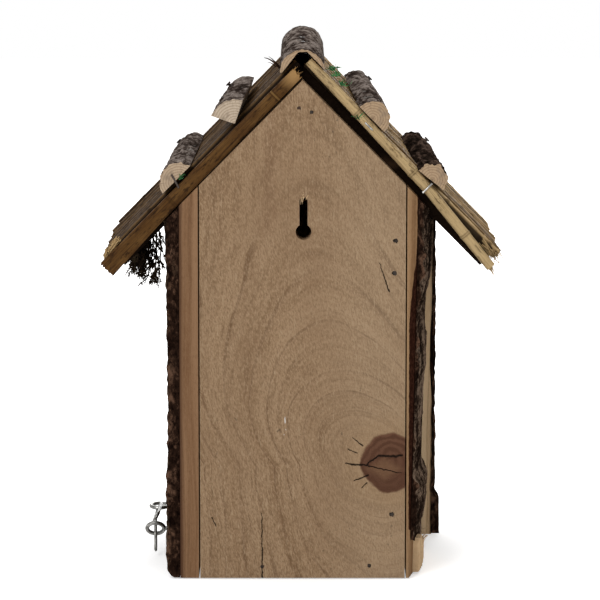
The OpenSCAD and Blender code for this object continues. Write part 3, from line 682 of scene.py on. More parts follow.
# %% Finish: bark
def bark_finish(
    name, dark, mid, light, stretch, spot, spot_amount=0.5, crack=0.7, bump=0.0007, scale=1.0, bands=0.0,
    drawn=False,
):
    """Bark coloured by its relief, with cracks, spots and, on young logs, narrow rows of pores round the
    stem."""
    material, r, shader = new_finish(name, rough=0.92, specular=0.0)
    place = r.attribute("grown") if drawn else r.object_place()
    b = r.group(
        bark_group, Place=r.stretch(place, stretch), Relief=r.attribute("relief", "Fac"), Scale=scale,
    )
    # Tone carries the relief: darker pits and paler ridges are partly the bark's own colour, partly painted
    # shade and light.
    colour = r.ramp(b["Tone"], (0.38, dark), (0.51, mid), (0.64, light))
    if bands:
        place = r.split(r.object_place())
        row = r.streaks((place[0], place[1], place[2]), (160.0, 900.0, 160.0), 2, 0.6)
        colour = r.tint(colour, tuple(0.4 * c for c in dark), row, 0.6, 0.72, 0.0, bands)
    colour = r.mix(b["Spot"] * spot_amount, colour, spot)
    colour = r.mix(b["Crack"] * crack, colour, tuple(0.3 * c for c in dark))
    r.feed(colour, shader["Base Color"])
    r.feed(r.bump(b["Height"], bump, 0.9), shader["Normal"])
    return material


wall_bark = bark_finish(
    "wall_bark", (0.008, 0.0045, 0.003), (0.032, 0.019, 0.0125), (0.15, 0.101, 0.069), (1.0, 1.0, 0.45),
    (0.15, 0.11, 0.08), 0.35, bump=0.0012,
)
side_bark = bark_finish(
    "side_bark", (0.007, 0.004, 0.003), (0.03, 0.018, 0.012), (0.205, 0.142, 0.1), (1.0, 1.0, 0.7),
    (0.17, 0.122, 0.09), 0.4, bump=0.0014, scale=1.5, drawn=True,
)
bark_break = bark_finish(
    "bark_break", (0.007, 0.0035, 0.0025), (0.022, 0.011, 0.007), (0.11, 0.06, 0.038), (1.0, 1.0, 0.6),
    (0.1, 0.058, 0.036), 0.35, 0.8, 0.001,
)
log_bark = bark_finish(
    "log_bark", (0.017, 0.0115, 0.009), (0.066, 0.049, 0.041), (0.24, 0.2, 0.176), (1.0, 0.6, 1.0),
    (0.27, 0.25, 0.225), 0.4, 0.6, 0.0007, 1.1, 0.7,
)
dark_log_bark = bark_finish(
    "dark_log_bark", (0.006, 0.004, 0.003), (0.021, 0.0135, 0.01), (0.095, 0.063, 0.048), (1.0, 0.6, 1.0),
    (0.095, 0.068, 0.054), 0.35, 0.7, 0.001, 1.0, 0.3,
)
print("bark ready")

# %% [markdown]
# A sawn log end shows its rings round a dark pith, a few cracks that run outwards
# and brown stains. The distance from the pith comes from the value that each
# point of a log carries, so the rings are right on every log.

# %% Finish: sawn log ends
log_end, r, shader = new_finish("log_end_wood", rough=0.85, specular=0.0)
place = r.split(r.attribute("pith"))
from_pith = r.length(place[0], place[2])
blur = r.pattern((240, 20, 240), 3, 0.6, place=r.attribute("pith"))
ringed = r.math("SINE", from_pith * 4600.0 + blur * 5.0)
colour = r.tint((0.51, 0.415, 0.315), (0.28, 0.2, 0.135), ringed, -0.2, 1.0, 0.0, 0.6)
log_x = r.split(r.object_place())[0]
warm = r.math("MAXIMUM", r.step(log_x, -0.030, -0.008, 0.0, 0.85), r.step(log_x, -0.055, -0.047, 0.5, 0.0))
colour = r.mix(warm, colour, r.tint((0.4, 0.275, 0.165), (0.24, 0.15, 0.085), ringed, -0.2, 1.0, 0.0, 0.6))
turn = r.math("ARCTAN2", place[2], place[0])
ray = r.noise(r.join(turn * 5.0, 0.3, from_pith * 60.0), 1.0, 2, 0.5)
split_line = r.step(abs(ray - 0.56), 0.0, 0.012, 0.75, 0)
colour = r.mix(split_line, colour, (0.12, 0.08, 0.055))
stain = r.step(r.pattern((130, 10, 130), 3, 0.6, (3, 0, 1), r.attribute("pith")), 0.48, 0.66, 0.0, 0.6)
colour = r.mix(stain, colour, (0.22, 0.165, 0.12))
colour = r.tint(colour, (0.13, 0.08, 0.05), from_pith, 0.0, 0.0013, 0.7, 0)
rough_saw = r.pattern((1400, 300, 1400), 3, 0.6, place=r.attribute("pith"))
r.feed(colour, shader["Base Color"])
r.feed(r.bump(rough_saw + ringed * 0.12, 0.0002, 0.8), shader["Normal"])
print("log ends ready")

# %% [markdown]
# Dry cane is straw yellow to grey brown, with fine streaks along it, darker
# rings at its joints and grime where it has lain wet. Every cane has its own
# number, which picks its tint.


# %% Finish: canes, split canes and bamboo
def cane_finish(name, tints, streak, streak_amount, grime, grime_amount, rough=0.5, underside_shade=0.0, torn_and_lit=None):
    """Dry cane: its number picks one of the tints, streaks run along it and its joints are darker.

    underside_shade is painted shade that blackens the lower flanks, where the canes shade one another,
    and torn_and_lit is the colour of a broken upper end: partly its own paleness, partly painted light.
    """
    material, r, shader = new_finish(name, rough=rough, specular=0.025)
    run = r.split(r.attribute("run"))
    own = r.noise(r.join(run[1] * 7.31, 0.5, 0.5), 1.0, 0, 0.5)
    blotch = r.streaks((run[0], run[1], run[2]), (70.0, 3.7, 120.0), 3, 0.6)
    pick = own + (blotch - 0.5) * 0.35
    stops = [(0.30 + 0.40 * i / (len(tints) - 1), tint) for i, tint in enumerate(tints)]
    colour = r.ramp(pick, *stops)
    fine = r.streaks((run[0], run[1], run[2]), (35.0, 9.1, 2600.0), 4, 0.65)
    colour = r.tint(colour, streak, fine, 0.46, 0.68, 0.0, streak_amount)
    wet = r.streaks((run[0], run[1], run[2]), (160.0, 5.3, 500.0), 4, 0.7)
    colour = r.tint(colour, grime, wet, 0.52, 0.66, 0.0, grime_amount)
    joint = r.attribute("joint", "Fac")
    colour = r.tint(colour, tuple(0.45 * c for c in tints[0]), joint, 0.3, 0.75, 0.0, 0.55)
    colour = r.tint(colour, tints[-1], joint, 0.8, 1.0, 0.0, 0.5)
    # A paler upper end: partly freshly torn cane, partly painted light on an end that lies in shade.
    if torn_and_lit:
        colour = r.tint(colour, torn_and_lit, run[0], 0.001, 0.011, 0.75, 0.0)
    # Painted shade: the lower flank of each cane is darkened where its neighbours shade it.
    if underside_shade:
        colour = r.tint(colour, (0.01, 0.006, 0.004), r.attribute("crest", "Fac"), 0.3, 0.93, underside_shade, 0.0)
    r.feed(colour, shader["Base Color"])
    r.feed(r.step(wet, 0.4, 0.7, rough - 0.05, rough + 0.25), shader["Roughness"])
    r.feed(r.bump(fine + wet * 0.5, 0.00012, 0.7), shader["Normal"])
    return material


round_cane = cane_finish(
    "round_cane", [(0.085, 0.048, 0.02), (0.29, 0.185, 0.083), (0.5, 0.345, 0.168), (0.19, 0.124, 0.062)],
    (0.04, 0.022, 0.011), 0.65, (0.02, 0.012, 0.006), 0.65, underside_shade=0.95,
)
split_cane = cane_finish(
    "split_cane",
    [(0.018, 0.009, 0.004), (0.066, 0.036, 0.015), (0.14, 0.082, 0.035), (0.04, 0.024, 0.012)],
    (0.02, 0.01, 0.006), 0.75, (0.01, 0.006, 0.004), 0.7, underside_shade=0.97,
)
# The slat's upper end is painted paler: torn bamboo, and painted light under the ridge log's shade.
slat_bamboo = cane_finish(
    "slat_bamboo", [(0.066, 0.029, 0.009), (0.158, 0.082, 0.026), (0.26, 0.148, 0.05)],
    (0.026, 0.012, 0.006), 0.85, (0.012, 0.006, 0.004), 0.75, 0.45, torn_and_lit=(0.4, 0.235, 0.095),
)
edge_cane = cane_finish(
    "edge_cane_yellow", [(0.165, 0.1, 0.04), (0.32, 0.212, 0.098), (0.47, 0.34, 0.175)],
    (0.09, 0.05, 0.022), 0.6, (0.05, 0.028, 0.014), 0.65,
)
print("canes ready")

# %% [markdown]
# Wire and nails are steel that has been outside for a year: grey, with dull
# spots, and rust where the zinc has gone.


# %% Finish: steel
def steel_finish(name, bright, dull, rust, rust_amount, rough, rusty_side=False):
    """Grey metal with dull spots, and rust of the given amount; with rusty_side only what lies left of the
    middle is rusty."""
    material, r, shader = new_finish(name, rough=rough, specular=0.5, metallic=1.0)
    spots = r.pattern((500, 500, 500), 4, 0.6)
    colour = r.tint(dull, bright, spots, 0.35, 0.65)
    rusty = r.step(r.pattern((260, 260, 260), 4, 0.7, (4, 4, 4)), 0.45, 0.65) * rust_amount
    if rusty_side:
        left = r.step(r.split(r.object_place())[0], -0.001, 0.001, 1, 0)
        rusty = left * 0.95 + rusty * 0.05
    r.feed(r.mix(rusty, colour, rust), shader["Base Color"])
    r.feed(1.0 - rusty, shader["Metallic"])
    r.feed(r.step(spots, 0.3, 0.7, rough + 0.12, rough - 0.08) + rusty * 0.4, shader["Roughness"])
    r.feed(r.bump(spots, 0.00008, 0.5), shader["Normal"])
    return material


wire_steel = steel_finish(
    "wire_steel", (0.3, 0.295, 0.28), (0.13, 0.128, 0.12), (0.09, 0.06, 0.04), 0.35, 0.3,
)
staple_steel = steel_finish(
    "staple_steel", (0.42, 0.41, 0.39), (0.17, 0.165, 0.155), (0.03, 0.017, 0.011), 1.0, 0.32,
    rusty_side=True,
)
nail_steel = steel_finish(
    "nail_steel", (0.05, 0.042, 0.036), (0.022, 0.017, 0.014), (0.045, 0.022, 0.012), 0.95, 0.55,
)
print("steel ready")

# %% [markdown]
# Bark, logs and canes are worked out as grids of points with numpy. Their
# roughness comes from a lattice noise: every corner of a unit lattice has a
# fixed random value, and the points between the corners blend their eight
# neighbours. It gives the same bark on every run.


# %% Lattice noise
PRIMES = (374761393, 668265263, 1440662683)
MIXER = 1274126177
LOW_32_BITS = 0xFFFFFFFF
LOW_16_BITS = 0xFFFF


def lattice(x, y, z, seed=0):
    """Noise from -1 to 1: random values on a unit lattice, blended by 3t^2 - 2t^3 along each axis."""
    place = np.broadcast_arrays(*(np.asarray(v, float) for v in (x, y, z)))
    corner = [np.floor(v).astype(np.int64) for v in place]
    blend = [(v - c) ** 2 * (3 - 2 * (v - c)) for v, c in zip(place, corner)]
    total = np.zeros(place[0].shape)
    for steps in np.ndindex(2, 2, 2):
        h = seed * MIXER + sum((c + d) * prime for c, d, prime in zip(corner, steps, PRIMES))
        h = h & LOW_32_BITS
        h = ((h ^ (h >> 13)) * MIXER) & LOW_32_BITS
        value = ((h ^ (h >> 16)) & LOW_16_BITS) / (LOW_16_BITS / 2) - 1
        near = [b if d else 1 - b for b, d in zip(blend, steps)]
        total += value * (near[0] * near[1] * near[2])
    return total


def layered(x, y, z, seed=0, layers=3):
    """Lattice noise at doubled scales, each half as strong as the one before."""
    return sum(lattice(x * 2**k, y * 2**k, z * 2**k, seed + 7 * k) / 2**k for k in range(layers))


def flaky(u, v, seed=0):
    """Relief of old bark, about -1 to 1: long ridges (1 - 2 |noise|), broad plates and a fine crumble; v
    runs along the trunk, both in mm."""
    ridge = 1 - 2 * np.abs(lattice(u / 4.2 + 0.8 * lattice(u / 9, v / 14, 1, seed), v / 15, 0, seed + 1))
    plate = np.tanh(3 * lattice(u / 8, v / 17, 2, seed + 2))
    crumb = layered(u / 2.2, v / 3.6, 3, seed + 3, 2)
    return 0.45 * ridge + 0.22 * plate + 0.38 * crumb


sample = flaky(*np.mgrid[0:80, 0:80])
print("noise spreads from %.2f to %.2f" % (sample.min(), sample.max()))

# %% [markdown]
# Every natural piece here is one of two kinds of skin. A shell has an outer and
# an inner grid of points that are joined along their rims: a slab of bark, or a
# split log. A tube has rings of points and a point at each end: a cane, a twig
# or a wire. Both come out closed.


# %% Skins: shells and tubes
def quads(rows, cols, closed=False):
    """Corner numbers of the faces of a grid of rows x cols points; closed joins last column to first."""
    i = np.arange(rows - 1)[:, None] * cols
    j = np.arange(cols if closed else cols - 1)[None, :]
    k = (j + 1) % cols
    return np.stack([i + j, i + k, i + cols + k, i + cols + j], -1).reshape(-1, 4)


def shell(outer, inner, closed=False):
    """Points, faces and kinds of a closed skin between two grids: kind 0 is the outer grid, 1 the rest."""
    rows, cols = outer.shape[:2]
    number = np.arange(rows * cols).reshape(rows, cols)
    rims = [number[0], number[-1]] if closed else [number[0], number[-1], number[:, 0], number[:, -1]]
    skin = quads(rows, cols, closed)
    faces = [skin, skin[:, ::-1] + rows * cols]
    for rim in rims:
        a, b = (rim, np.roll(rim, -1)) if closed else (rim[:-1], rim[1:])
        faces.append(np.stack([a, a + rows * cols, b + rows * cols, b], -1))
    kinds = np.concatenate([np.full(len(f), 0 if i == 0 else 1) for i, f in enumerate(faces)])
    return np.concatenate([outer.reshape(-1, 3), inner.reshape(-1, 3)]), [np.concatenate(faces)], kinds


def tubes(rings):
    """Points and faces of closed tubes: rings is tubes x rows x sides x 3, a middle point closes each end."""
    count, rows, sides = rings.shape[:3]
    ends = rings[:, [0, -1]].mean(axis=2)
    points = np.concatenate([rings.reshape(count, -1, 3), ends], 1)
    step = rows * sides + 2
    side = quads(rows, sides, True)
    j = np.arange(sides)
    k = (j + 1) % sides
    low = np.stack([k, j, np.full(sides, rows * sides)], -1)
    high = np.stack([j, k, np.full(sides, rows * sides + 1 - (rows - 1) * sides)], -1) + (rows - 1) * sides
    first = np.arange(count)[:, None, None] * step
    return (
        points.reshape(-1, 3),
        [(side + first).reshape(-1, 4), (low + first).reshape(-1, 3), (high + first).reshape(-1, 3)],
    )


def along_path(path, radius, sides):
    """Rings round a path: p + r (cos a u + sin a v), where u and v are at right angles to the path."""
    direction = np.gradient(path, axis=-2)
    direction /= np.linalg.norm(direction, axis=-1, keepdims=True)
    helper = np.where(np.abs(direction[..., 1:2]) > 0.8, [1.0, 0, 0], [0, 1.0, 0])
    u = np.cross(direction, helper)
    u /= np.linalg.norm(u, axis=-1, keepdims=True)
    v = np.cross(direction, u)
    a = np.linspace(0, 2 * math.pi, sides, endpoint=False)
    ring = np.cos(a)[:, None] * u[..., None, :] + np.sin(a)[:, None] * v[..., None, :]
    return path[..., None, :] + np.broadcast_to(radius, path.shape[:-1])[..., None, None] * ring


def make_piece(name, points, faces, finishes, body, slot, stands_for=(), kinds=None, sharp=40, **fields):
    """One object at the origin: points in metres, arrays of faces, one finish per kind, values on points."""
    mesh = bpy.data.meshes.new(name)
    mesh.vertices.add(len(points))
    mesh.vertices.foreach_set("co", np.asarray(points, np.float32).ravel())
    corners = np.concatenate([f.ravel() for f in faces]).astype(np.int32)
    sizes = np.concatenate([np.full(len(f), f.shape[1]) for f in faces])
    mesh.loops.add(len(corners))
    mesh.loops.foreach_set("vertex_index", corners)
    mesh.polygons.add(len(sizes))
    mesh.polygons.foreach_set("loop_start", np.concatenate([[0], np.cumsum(sizes)[:-1]]).astype(np.int32))
    if kinds is not None:
        mesh.polygons.foreach_set("material_index", np.asarray(kinds, np.int32))
    mesh.update(calc_edges=True)
    for label, values in fields.items():
        values = np.asarray(values, np.float32)
        kind, key = ("FLOAT_VECTOR", "vector") if values.ndim == 2 else ("FLOAT", "value")
        mesh.attributes.new(label, kind, "POINT").data.foreach_set(key, values.ravel())
    work = bmesh.new()
    work.from_mesh(mesh)
    bmesh.ops.recalc_face_normals(work, faces=work.faces)
    work.to_mesh(mesh)
    work.free()
    mesh.shade_smooth()
    mesh.set_sharp_from_angle(angle=math.radians(sharp))
    for finish in finishes:
        mesh.materials.append(finish)
    piece = bpy.data.objects.new(name, mesh)
    scene.collection.objects.link(piece)
    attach(piece, body)
    if stands_for:
        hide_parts(*stands_for)
    print("%s: %d faces" % (name, len(mesh.polygons)))
    return piece


# %% [markdown]
# The roof's pieces are easiest to think of on the slope: s runs down from the
# ridge, y from the back face to the front and p stands up from the gable line.
# One function turns these into the frame's X, Y and Z for either side.

# %% Places on the box and on the roof
PITCH = math.radians(45.5)
COS, SIN, TAN = math.cos(PITCH), math.sin(PITCH), math.tan(PITCH)
APEX = 1000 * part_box("back_board")[1][2]
BACK = 1000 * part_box("back_board")[0][1]
LOG_SEAT = 10.3
BACK_BOARD, UNDER_BOARDS = 12, -2.9


def on_slope(side, s, y, p):
    """X = side (s cos + p sin), Z = apex - s sin + p cos, Y = back + y; mm in, metres out."""
    s, y, p = np.broadcast_arrays(s, y, p)
    return np.stack([side * (s * COS + p * SIN), BACK + y, APEX - s * SIN + p * COS], -1) / 1000


def at_wall(x, y, z):
    """A point of the walls, y counted from the back face; mm in, metres out."""
    x, y, z = np.broadcast_arrays(x, y, z)
    return np.stack([x, BACK + y, z], -1) / 1000


def roof_line(x, p):
    """Height of a line parallel to the roof, p above the gable line."""
    return APEX - np.abs(x) * TAN + p / COS


def under_roof(x, y):
    """Where a wall's bark ends: at the gable line by the back face, under the roof boards further in."""
    return np.where(y < BACK_BOARD, roof_line(x, -0.3), roof_line(x, UNDER_BOARDS))


print("apex %.1f mm, back face at %.1f mm" % (APEX, BACK))

# %% [markdown]
# The walls wear their bark on the outside. Where the slab was sawn the bark's
# broken edge shows as a dark ragged line, so the shell is thick, its outer grid
# carries the flaky relief and its rear rim is uneven.


# %% Bark of the post, the door and the right wall
THINNEST_BARK = 0.4
POST_IN = -63.9
POST_BARK, DOOR_BARK = 6.9, 5.2
DOOR_RADIUS, DOOR_MIDDLE = 230, 80.7
FOOT_ROUND = 5


def bark_shell(
    name, x_in, x_out, y_rows, z_low, z_high, side, body, stands_for, seed, rough, columns=64, rim=0.8,
    finish=None, drawn=1.0,
):
    """Bark between two faces x_in(y, z) and x_out(y, z): z runs from z_low(y) to z_high(x, y) and the outer
    face moves by rough times the flaky relief."""
    t = np.linspace(0, 1, y_rows[2])
    z_steps = np.linspace(0, 1, columns * 3)[:, None]
    y = y_rows[0] + (y_rows[1] - y_rows[0]) * t[None, :] + 0 * z_steps
    low = z_low(y) + 0 * z_steps
    guess = low + z_steps * (z_high(x_out(y, 100.0), y) - low)
    grown = np.where(y < 40, y * drawn, y - 40 * (1 - drawn))
    relief = flaky(grown, guess, seed)
    fade = np.clip(np.minimum(t, 1 - t)[None, :] * 14, 0, 1)
    ragged = rim * layered(guess / 5.0, 0.3, 1.0, seed + 5, 3) * (1 - fade)
    x_near = x_in(y, guess)
    swell = side * (x_out(y, guess) - x_near) + rough * relief - 0.5 * rough + ragged
    x_far = x_near + side * np.maximum(swell, THINNEST_BARK)
    near_z = low + z_steps * (z_high(x_near, y) - low)
    y_out = y + np.where(t[None, :] < 0.5, 1, -1) * np.abs(ragged) * 0.8
    outer = at_wall(x_far, y_out, np.minimum(guess, z_high(x_far, y)))
    inner = at_wall(x_near, y, near_z)
    points, faces, kinds = shell(outer, inner)
    depth = np.concatenate([relief.ravel(), np.full(relief.size, -0.15)])
    place = np.tile(np.stack([x_far, grown, guess], -1).reshape(-1, 3) / 1000, (2, 1))
    return make_piece(
        name, points, faces, [finish or wall_bark, bark_break], body, "bark", stands_for, kinds, 50,
        relief=depth, grown=place,
    )


def rounded_foot(z, lift):
    """How far a bark's foot is drawn in: a quarter round of 5 mm, whose straight part starts lift mm up."""
    return FOOT_ROUND - np.sqrt(np.maximum(FOOT_ROUND**2 - np.clip(lift - z, 0, FOOT_ROUND) ** 2, 0))


def post_face(y, z):
    """Outer face of the post's bark: 6.9 mm thick, 1 mm more at the top where it flares, 0.7 mm less at
    half height, rounded off at its foot."""
    flare = 1.0 * np.clip((z - 150) / 50, 0, 1) - 0.7 * np.exp(-(((z - 95) / 40) ** 2))
    return POST_IN - POST_BARK - flare + rounded_foot(z, 5)


bark_shell(
    "post_bark_skin", lambda y, z: POST_IN + 0 * z, post_face, (0, 62, 64), lambda y: 0.0 * y + 0.2,
    under_roof, -1, "box", ["post_bark"], 11,
    1.3,
)


def door_face(y, z):
    """Outer face of the door's bark: a cylinder of 230 mm radius about an upright axis."""
    round_face = np.sqrt(DOOR_RADIUS**2 - (y - DOOR_MIDDLE) ** 2)
    return POST_IN - DOOR_BARK + DOOR_RADIUS - round_face + rounded_foot(z, 6)


bark_shell(
    "door_bark_skin", lambda y, z: POST_IN + 0 * z, door_face, (62.9, 110.1, 50), lambda y: 0.0 * y + 1.2,
    lambda x, y: 164.0 + 0 * x, -1, "door", ["door_bark"], 23, 1.2, rim=0.6,
)
bark_shell(
    "door_corner_bark", lambda y, z: POST_IN + 0 * z, door_face, (109.5, 116.8, 12),
    lambda y: 0.0 * y + 1.2, lambda x, y: 29.6 + 0 * x, -1, "door", [], 31, 0.7, columns=14, rim=0.5,
)


WALL_HALF = 54.0
WALL_CONE, CONE_SPREAD, WALL_TOP = 260.0, 4.6, 206.2
CONE_BULGE, CONE_MIDDLE = 7.4, 55.5
BEVEL_EDGE, BEVEL_SLOPE, BEVEL_RISE = 1.8, 0.224, 0.01888


def wall_form(y, z, grow):
    """Outer form of the right wall, grown by grow: the nearer of a bevelled rear face and a large cone
    about an upright axis."""
    radius = WALL_CONE + CONE_SPREAD * z / WALL_TOP
    round_face = WALL_HALF + CONE_BULGE + grow - WALL_CONE + np.sqrt(radius**2 - (y - CONE_MIDDLE) ** 2)
    bevel = WALL_HALF + BEVEL_EDGE + grow + y * BEVEL_SLOPE + z * BEVEL_RISE
    return np.minimum(round_face, bevel)


def right_foot(y):
    """Height at which the bark ends: it has broken off the foot along a slanting, jagged line."""
    line = 20.8 - 0.249 * y
    jagged = 2.6 * layered(y / 3.0, 0.5, 0.5, 41, 3)
    return np.maximum(line, 0.3) + jagged * np.clip(line, 0, 4) / 4


# height on the wall and thickness of the bark there, in mm
FLAKE_Z = [18, 21, 24, 29, 34, 48, 51, 54, 75, 100, 106, 121, 128, 133, 145, 153, 162]
FLAKE_THICK = [1.2, 0.9, 1.6, 2.9, 3.6, 3.5, 1.2, 0.2, 0.1, 0.2, 1.2, 1.2, 0.2, 0.1, 0.7, 2.4, 3.1]


def right_face(y, z):
    """Outer face of the right bark: a thick flake low on the wall, worn almost to the wood above it, whole
    again under the roof."""
    return wall_form(y, z, 0.45 + np.interp(z, FLAKE_Z, FLAKE_THICK))


bark_shell(
    "right_bark_skin", lambda y, z: wall_form(y, z, 0.25), right_face, (0.3, 110, 100), right_foot,
    under_roof, 1, "box", ["right_bark"], 47,
    1.0, rim=1.6, finish=side_bark, drawn=0.35,
)
foot_wood = bark_shell(
    "right_foot_wood", lambda y, z: wall_form(y, z, 0.05), lambda y, z: wall_form(y, z, 3.3), (11, 72, 46),
    lambda y: 0.7 + 0.5 * layered(y / 4, 0.5, 0.5, 43, 2), lambda x, y: right_foot(y) + 1.5, 1, "box", [],
    49, 0.25, rim=1.0, finish=slab_wood_and_painted_light,
)
foot_wood.data.materials[1] = slab_wood_and_painted_light

# %% [markdown]
# The bark of the front slab has the entrance hole through it. Its grid runs in
# rays from the hole's rim to the slab's outline, so there is no need to cut a
# hole into anything: the hole is where the grid begins.


# %% Bark of the front slab
SLAB_EDGE, FOOT_STEP = 74.8, 2.3
NOTCH_TOP, NOTCH_SIDE = 32.7, 53.2
SLAB_Y, SLAB_HALF, SLAB_BULGE = 111 + 20, 70.5, 11.0
ENTRANCE = np.array([0.0, 132.0])
ENTRANCE_RIM = 17.6


def front_outline(count):
    """Points of the slab's outline in x and z, evenly spaced: foot, wavy sides and gable, with the notch
    for the door's corner."""
    def side_x(z):
        step = FOOT_STEP * np.clip((z - 20.5) / 2.5, 0, 1)
        wave, ripple = 0.4 * np.sin(np.radians(z * 2.6)), 0.3 * np.sin(np.radians(z * 5.9 + 40))
        return SLAB_EDGE - step + wave + ripple + 0.45 * layered(z / 5, 0.5, 0.5, 61, 3)

    z = np.linspace(0.4, 186, 90)
    right = np.stack([side_x(z), np.minimum(z, roof_line(side_x(z), UNDER_BOARDS))], 1)
    left = right[::-1] * [-1, 1]
    left = left[left[:, 1] > NOTCH_TOP]
    notch = [[-side_x(NOTCH_TOP), NOTCH_TOP], [-NOTCH_SIDE, NOTCH_TOP], [-NOTCH_SIDE, 0.4]]
    ring = np.concatenate([right, [[0, roof_line(0, UNDER_BOARDS)]], left, notch, right[:1]])
    walk = np.concatenate([[0], np.cumsum(np.linalg.norm(np.diff(ring, axis=0), axis=1))])
    at = np.linspace(0, walk[-1], count, endpoint=False)
    return np.stack([np.interp(at, walk, ring[:, i]) for i in (0, 1)], 1)


def front_face(x, grow):
    """Depth of the slab's round face grown by grow: a cylinder through the sawn edges and the middle."""
    radius = (SLAB_HALF**2 + SLAB_BULGE**2) / (2 * SLAB_BULGE)
    return SLAB_Y - radius + np.sqrt((radius + grow) ** 2 - x**2)


ends = front_outline(420)
ray = ends - ENTRANCE
reach = np.linalg.norm(ray, axis=1, keepdims=True)
worn = 0.5 * layered(ray[:, :1] / reach * 2.5, ray[:, 1:] / reach * 2.5, 0.5, 60, 3)
rim = ENTRANCE + ray / reach * (ENTRANCE_RIM + worn)
t = np.linspace(0, 1, 84)[:, None, None]
flat_grid = rim * (1 - t) + ends * t
gx, gz = flat_grid[..., 0], flat_grid[..., 1]
relief = flaky(gx * 1.15, gz, 53)
fade = np.clip((1 - t[..., 0]) * 9, 0, 1)
outer = at_wall(gx, front_face(gx, 3.2) + 1.3 * relief - 0.6 - 0.5 * (1 - fade), gz)
inner = at_wall(gx, front_face(gx, 0.25), gz)
points, faces, kinds = shell(outer, inner, closed=True)
make_piece(
    "front_bark_skin", points, faces, [wall_bark, bark_break], "box", "bark", ["front_bark"], kinds, 50,
    relief=np.concatenate([relief.ravel(), np.full(relief.size, -0.6)]),
)

# %% [markdown]
# The logs are split branches with their bark on. The section is an arc over a
# flat or notched underside, and the same section is carried along the log. The
# sawn ends are pale, and their rings are drawn round the pith, so each point
# keeps its place in the log's own section as a value that the finish can read.


# %% Logs on the roof
def arc_section(radius, height, count=56):
    """Arc r (cos a, sin a) over a flat underside: the log's top is height above the flat."""
    centre = height - radius
    dip = math.asin(max(-1, min(1, centre / radius)))
    a = np.linspace(-dip, math.pi + dip, count)
    arc = np.stack([radius * np.cos(a), centre + radius * np.sin(a)], 1)
    arc[[0, -1], 1] = 0
    base = np.stack([np.linspace(arc[0, 0], arc[-1, 0], count), np.zeros(count)], 1)
    return arc, base, np.array([0, centre])


def quarter_section(radius, tilt, count=56):
    """A quarter of a round: an arc from tilt to tilt + 90 degrees, and two split faces from its pith."""
    a = np.radians(np.linspace(tilt, tilt + 90, count))
    arc = radius * np.stack([np.cos(a), np.sin(a)], 1)
    w = np.linspace(0, 1, count)[:, None]
    base = np.where(w < 0.5, arc[:1] * (1 - 2 * w), arc[-1:] * (2 * w - 1))
    return arc, base, np.zeros(2)


def notch_section(count=64):
    """The ridge log: a half round of 11.7 mm over a V notch that sits on both slopes."""
    radius = 11.7
    top = roof_line(0, LOG_SEAT)
    centre = top + 1.4 - radius
    x = -11.62 * np.cos(np.linspace(0, math.pi, count))
    x = np.where(x > 0, x * 0.985, x)
    arc = centre + np.sqrt(radius**2 - x**2)
    under = np.interp(
        x, [-23.4, -9.6, -2.3, 2.3, 23.4],
        [roof_line(9.6, 10.4) - 1.3 * 13.8, roof_line(9.6, 10.4), top - 0.2, top, roof_line(23.4, 12.0)],
    )
    under = np.minimum(np.maximum(under, centre - 0.6), arc - 0.08)
    return np.stack([x, arc - APEX], 1), np.stack([x, under - APEX], 1), np.array([0, centre - APEX])


def log_grids(section, length, seed, rough, taper, ragged):
    """The section carried along y: the arc moves by the bark's relief, the log tapers and its sawn ends are
    a little uneven."""
    arc, base, pith = section
    rows = int(length / 1.1)
    y = np.linspace(0, 1, rows)[:, None]
    w = np.linspace(0, 1, len(arc))[None, :]
    away = arc - pith
    away = away / np.linalg.norm(away, axis=1, keepdims=True)
    run = np.cumsum(np.concatenate([[0], np.linalg.norm(np.diff(arc, axis=0), axis=1)]))[None, :]
    relief = flaky(run * 1.3, y * length * 0.8, seed)
    move = rough * relief - 0.45 * rough
    move = move * np.clip(np.minimum(w, 1 - w) * 12, 0, 1) + 0.35 * lattice(
        y * length / 45, 0.3, 0.7, seed + 9,
    )
    size = (1 - taper * y)[..., None]
    outer2 = (arc[None] + away[None] * move[..., None]) * size
    inner2 = base[None] * size + 0 * outer2
    grids = []
    for flat, near in ((outer2, 1.0), (inner2, 0.6)):
        uneven = ragged * near * layered(flat[..., 0] / 4, flat[..., 1] / 4, 0.5, seed + 12, 3)
        end = np.clip(1 - y * length / 4, 0, 1) * np.abs(uneven) - np.clip(
            1 - (1 - y) * length / 4, 0, 1,
        ) * np.abs(uneven)
        grids.append((flat[..., 0], y * length + end, flat[..., 1]))
    return grids, relief, pith


def lay_log(
    name, side, section, s, y0, length, skew, lift, tilt, seed, rough=0.8, taper=0.05, ragged=0.5,
    stands_for=(), bark=None,
):
    """Tilts the log about its length, turns it by skew in the slope and puts it s mm down the slope on the
    canes."""
    grids, relief, pith = log_grids(section, length, seed, rough, taper, ragged)
    t, k = math.radians(tilt), math.radians(skew)
    placed = []
    for a, y, c in grids:
        a, c = a * math.cos(t) - c * math.sin(t), a * math.sin(t) + c * math.cos(t)
        a, y = a * math.cos(k) - y * math.sin(k), a * math.sin(k) + y * math.cos(k)
        placed.append(on_slope(side, s + a, y0 + y, LOG_SEAT + lift + c - 1.35 * y / 124))
    points, faces, kinds = shell(*placed)
    ring = np.concatenate(
        [np.stack([g[0] - pith[0], g[1], g[2] - pith[1]], -1).reshape(-1, 3) for g in grids]
    ) / 1000
    depth = np.concatenate([relief.ravel(), np.full(relief.size, -0.5)])
    return make_piece(
        name, points, faces, [bark or log_bark, log_end], "box", "log", stands_for, kinds, 45, relief=depth,
        pith=ring,
    )


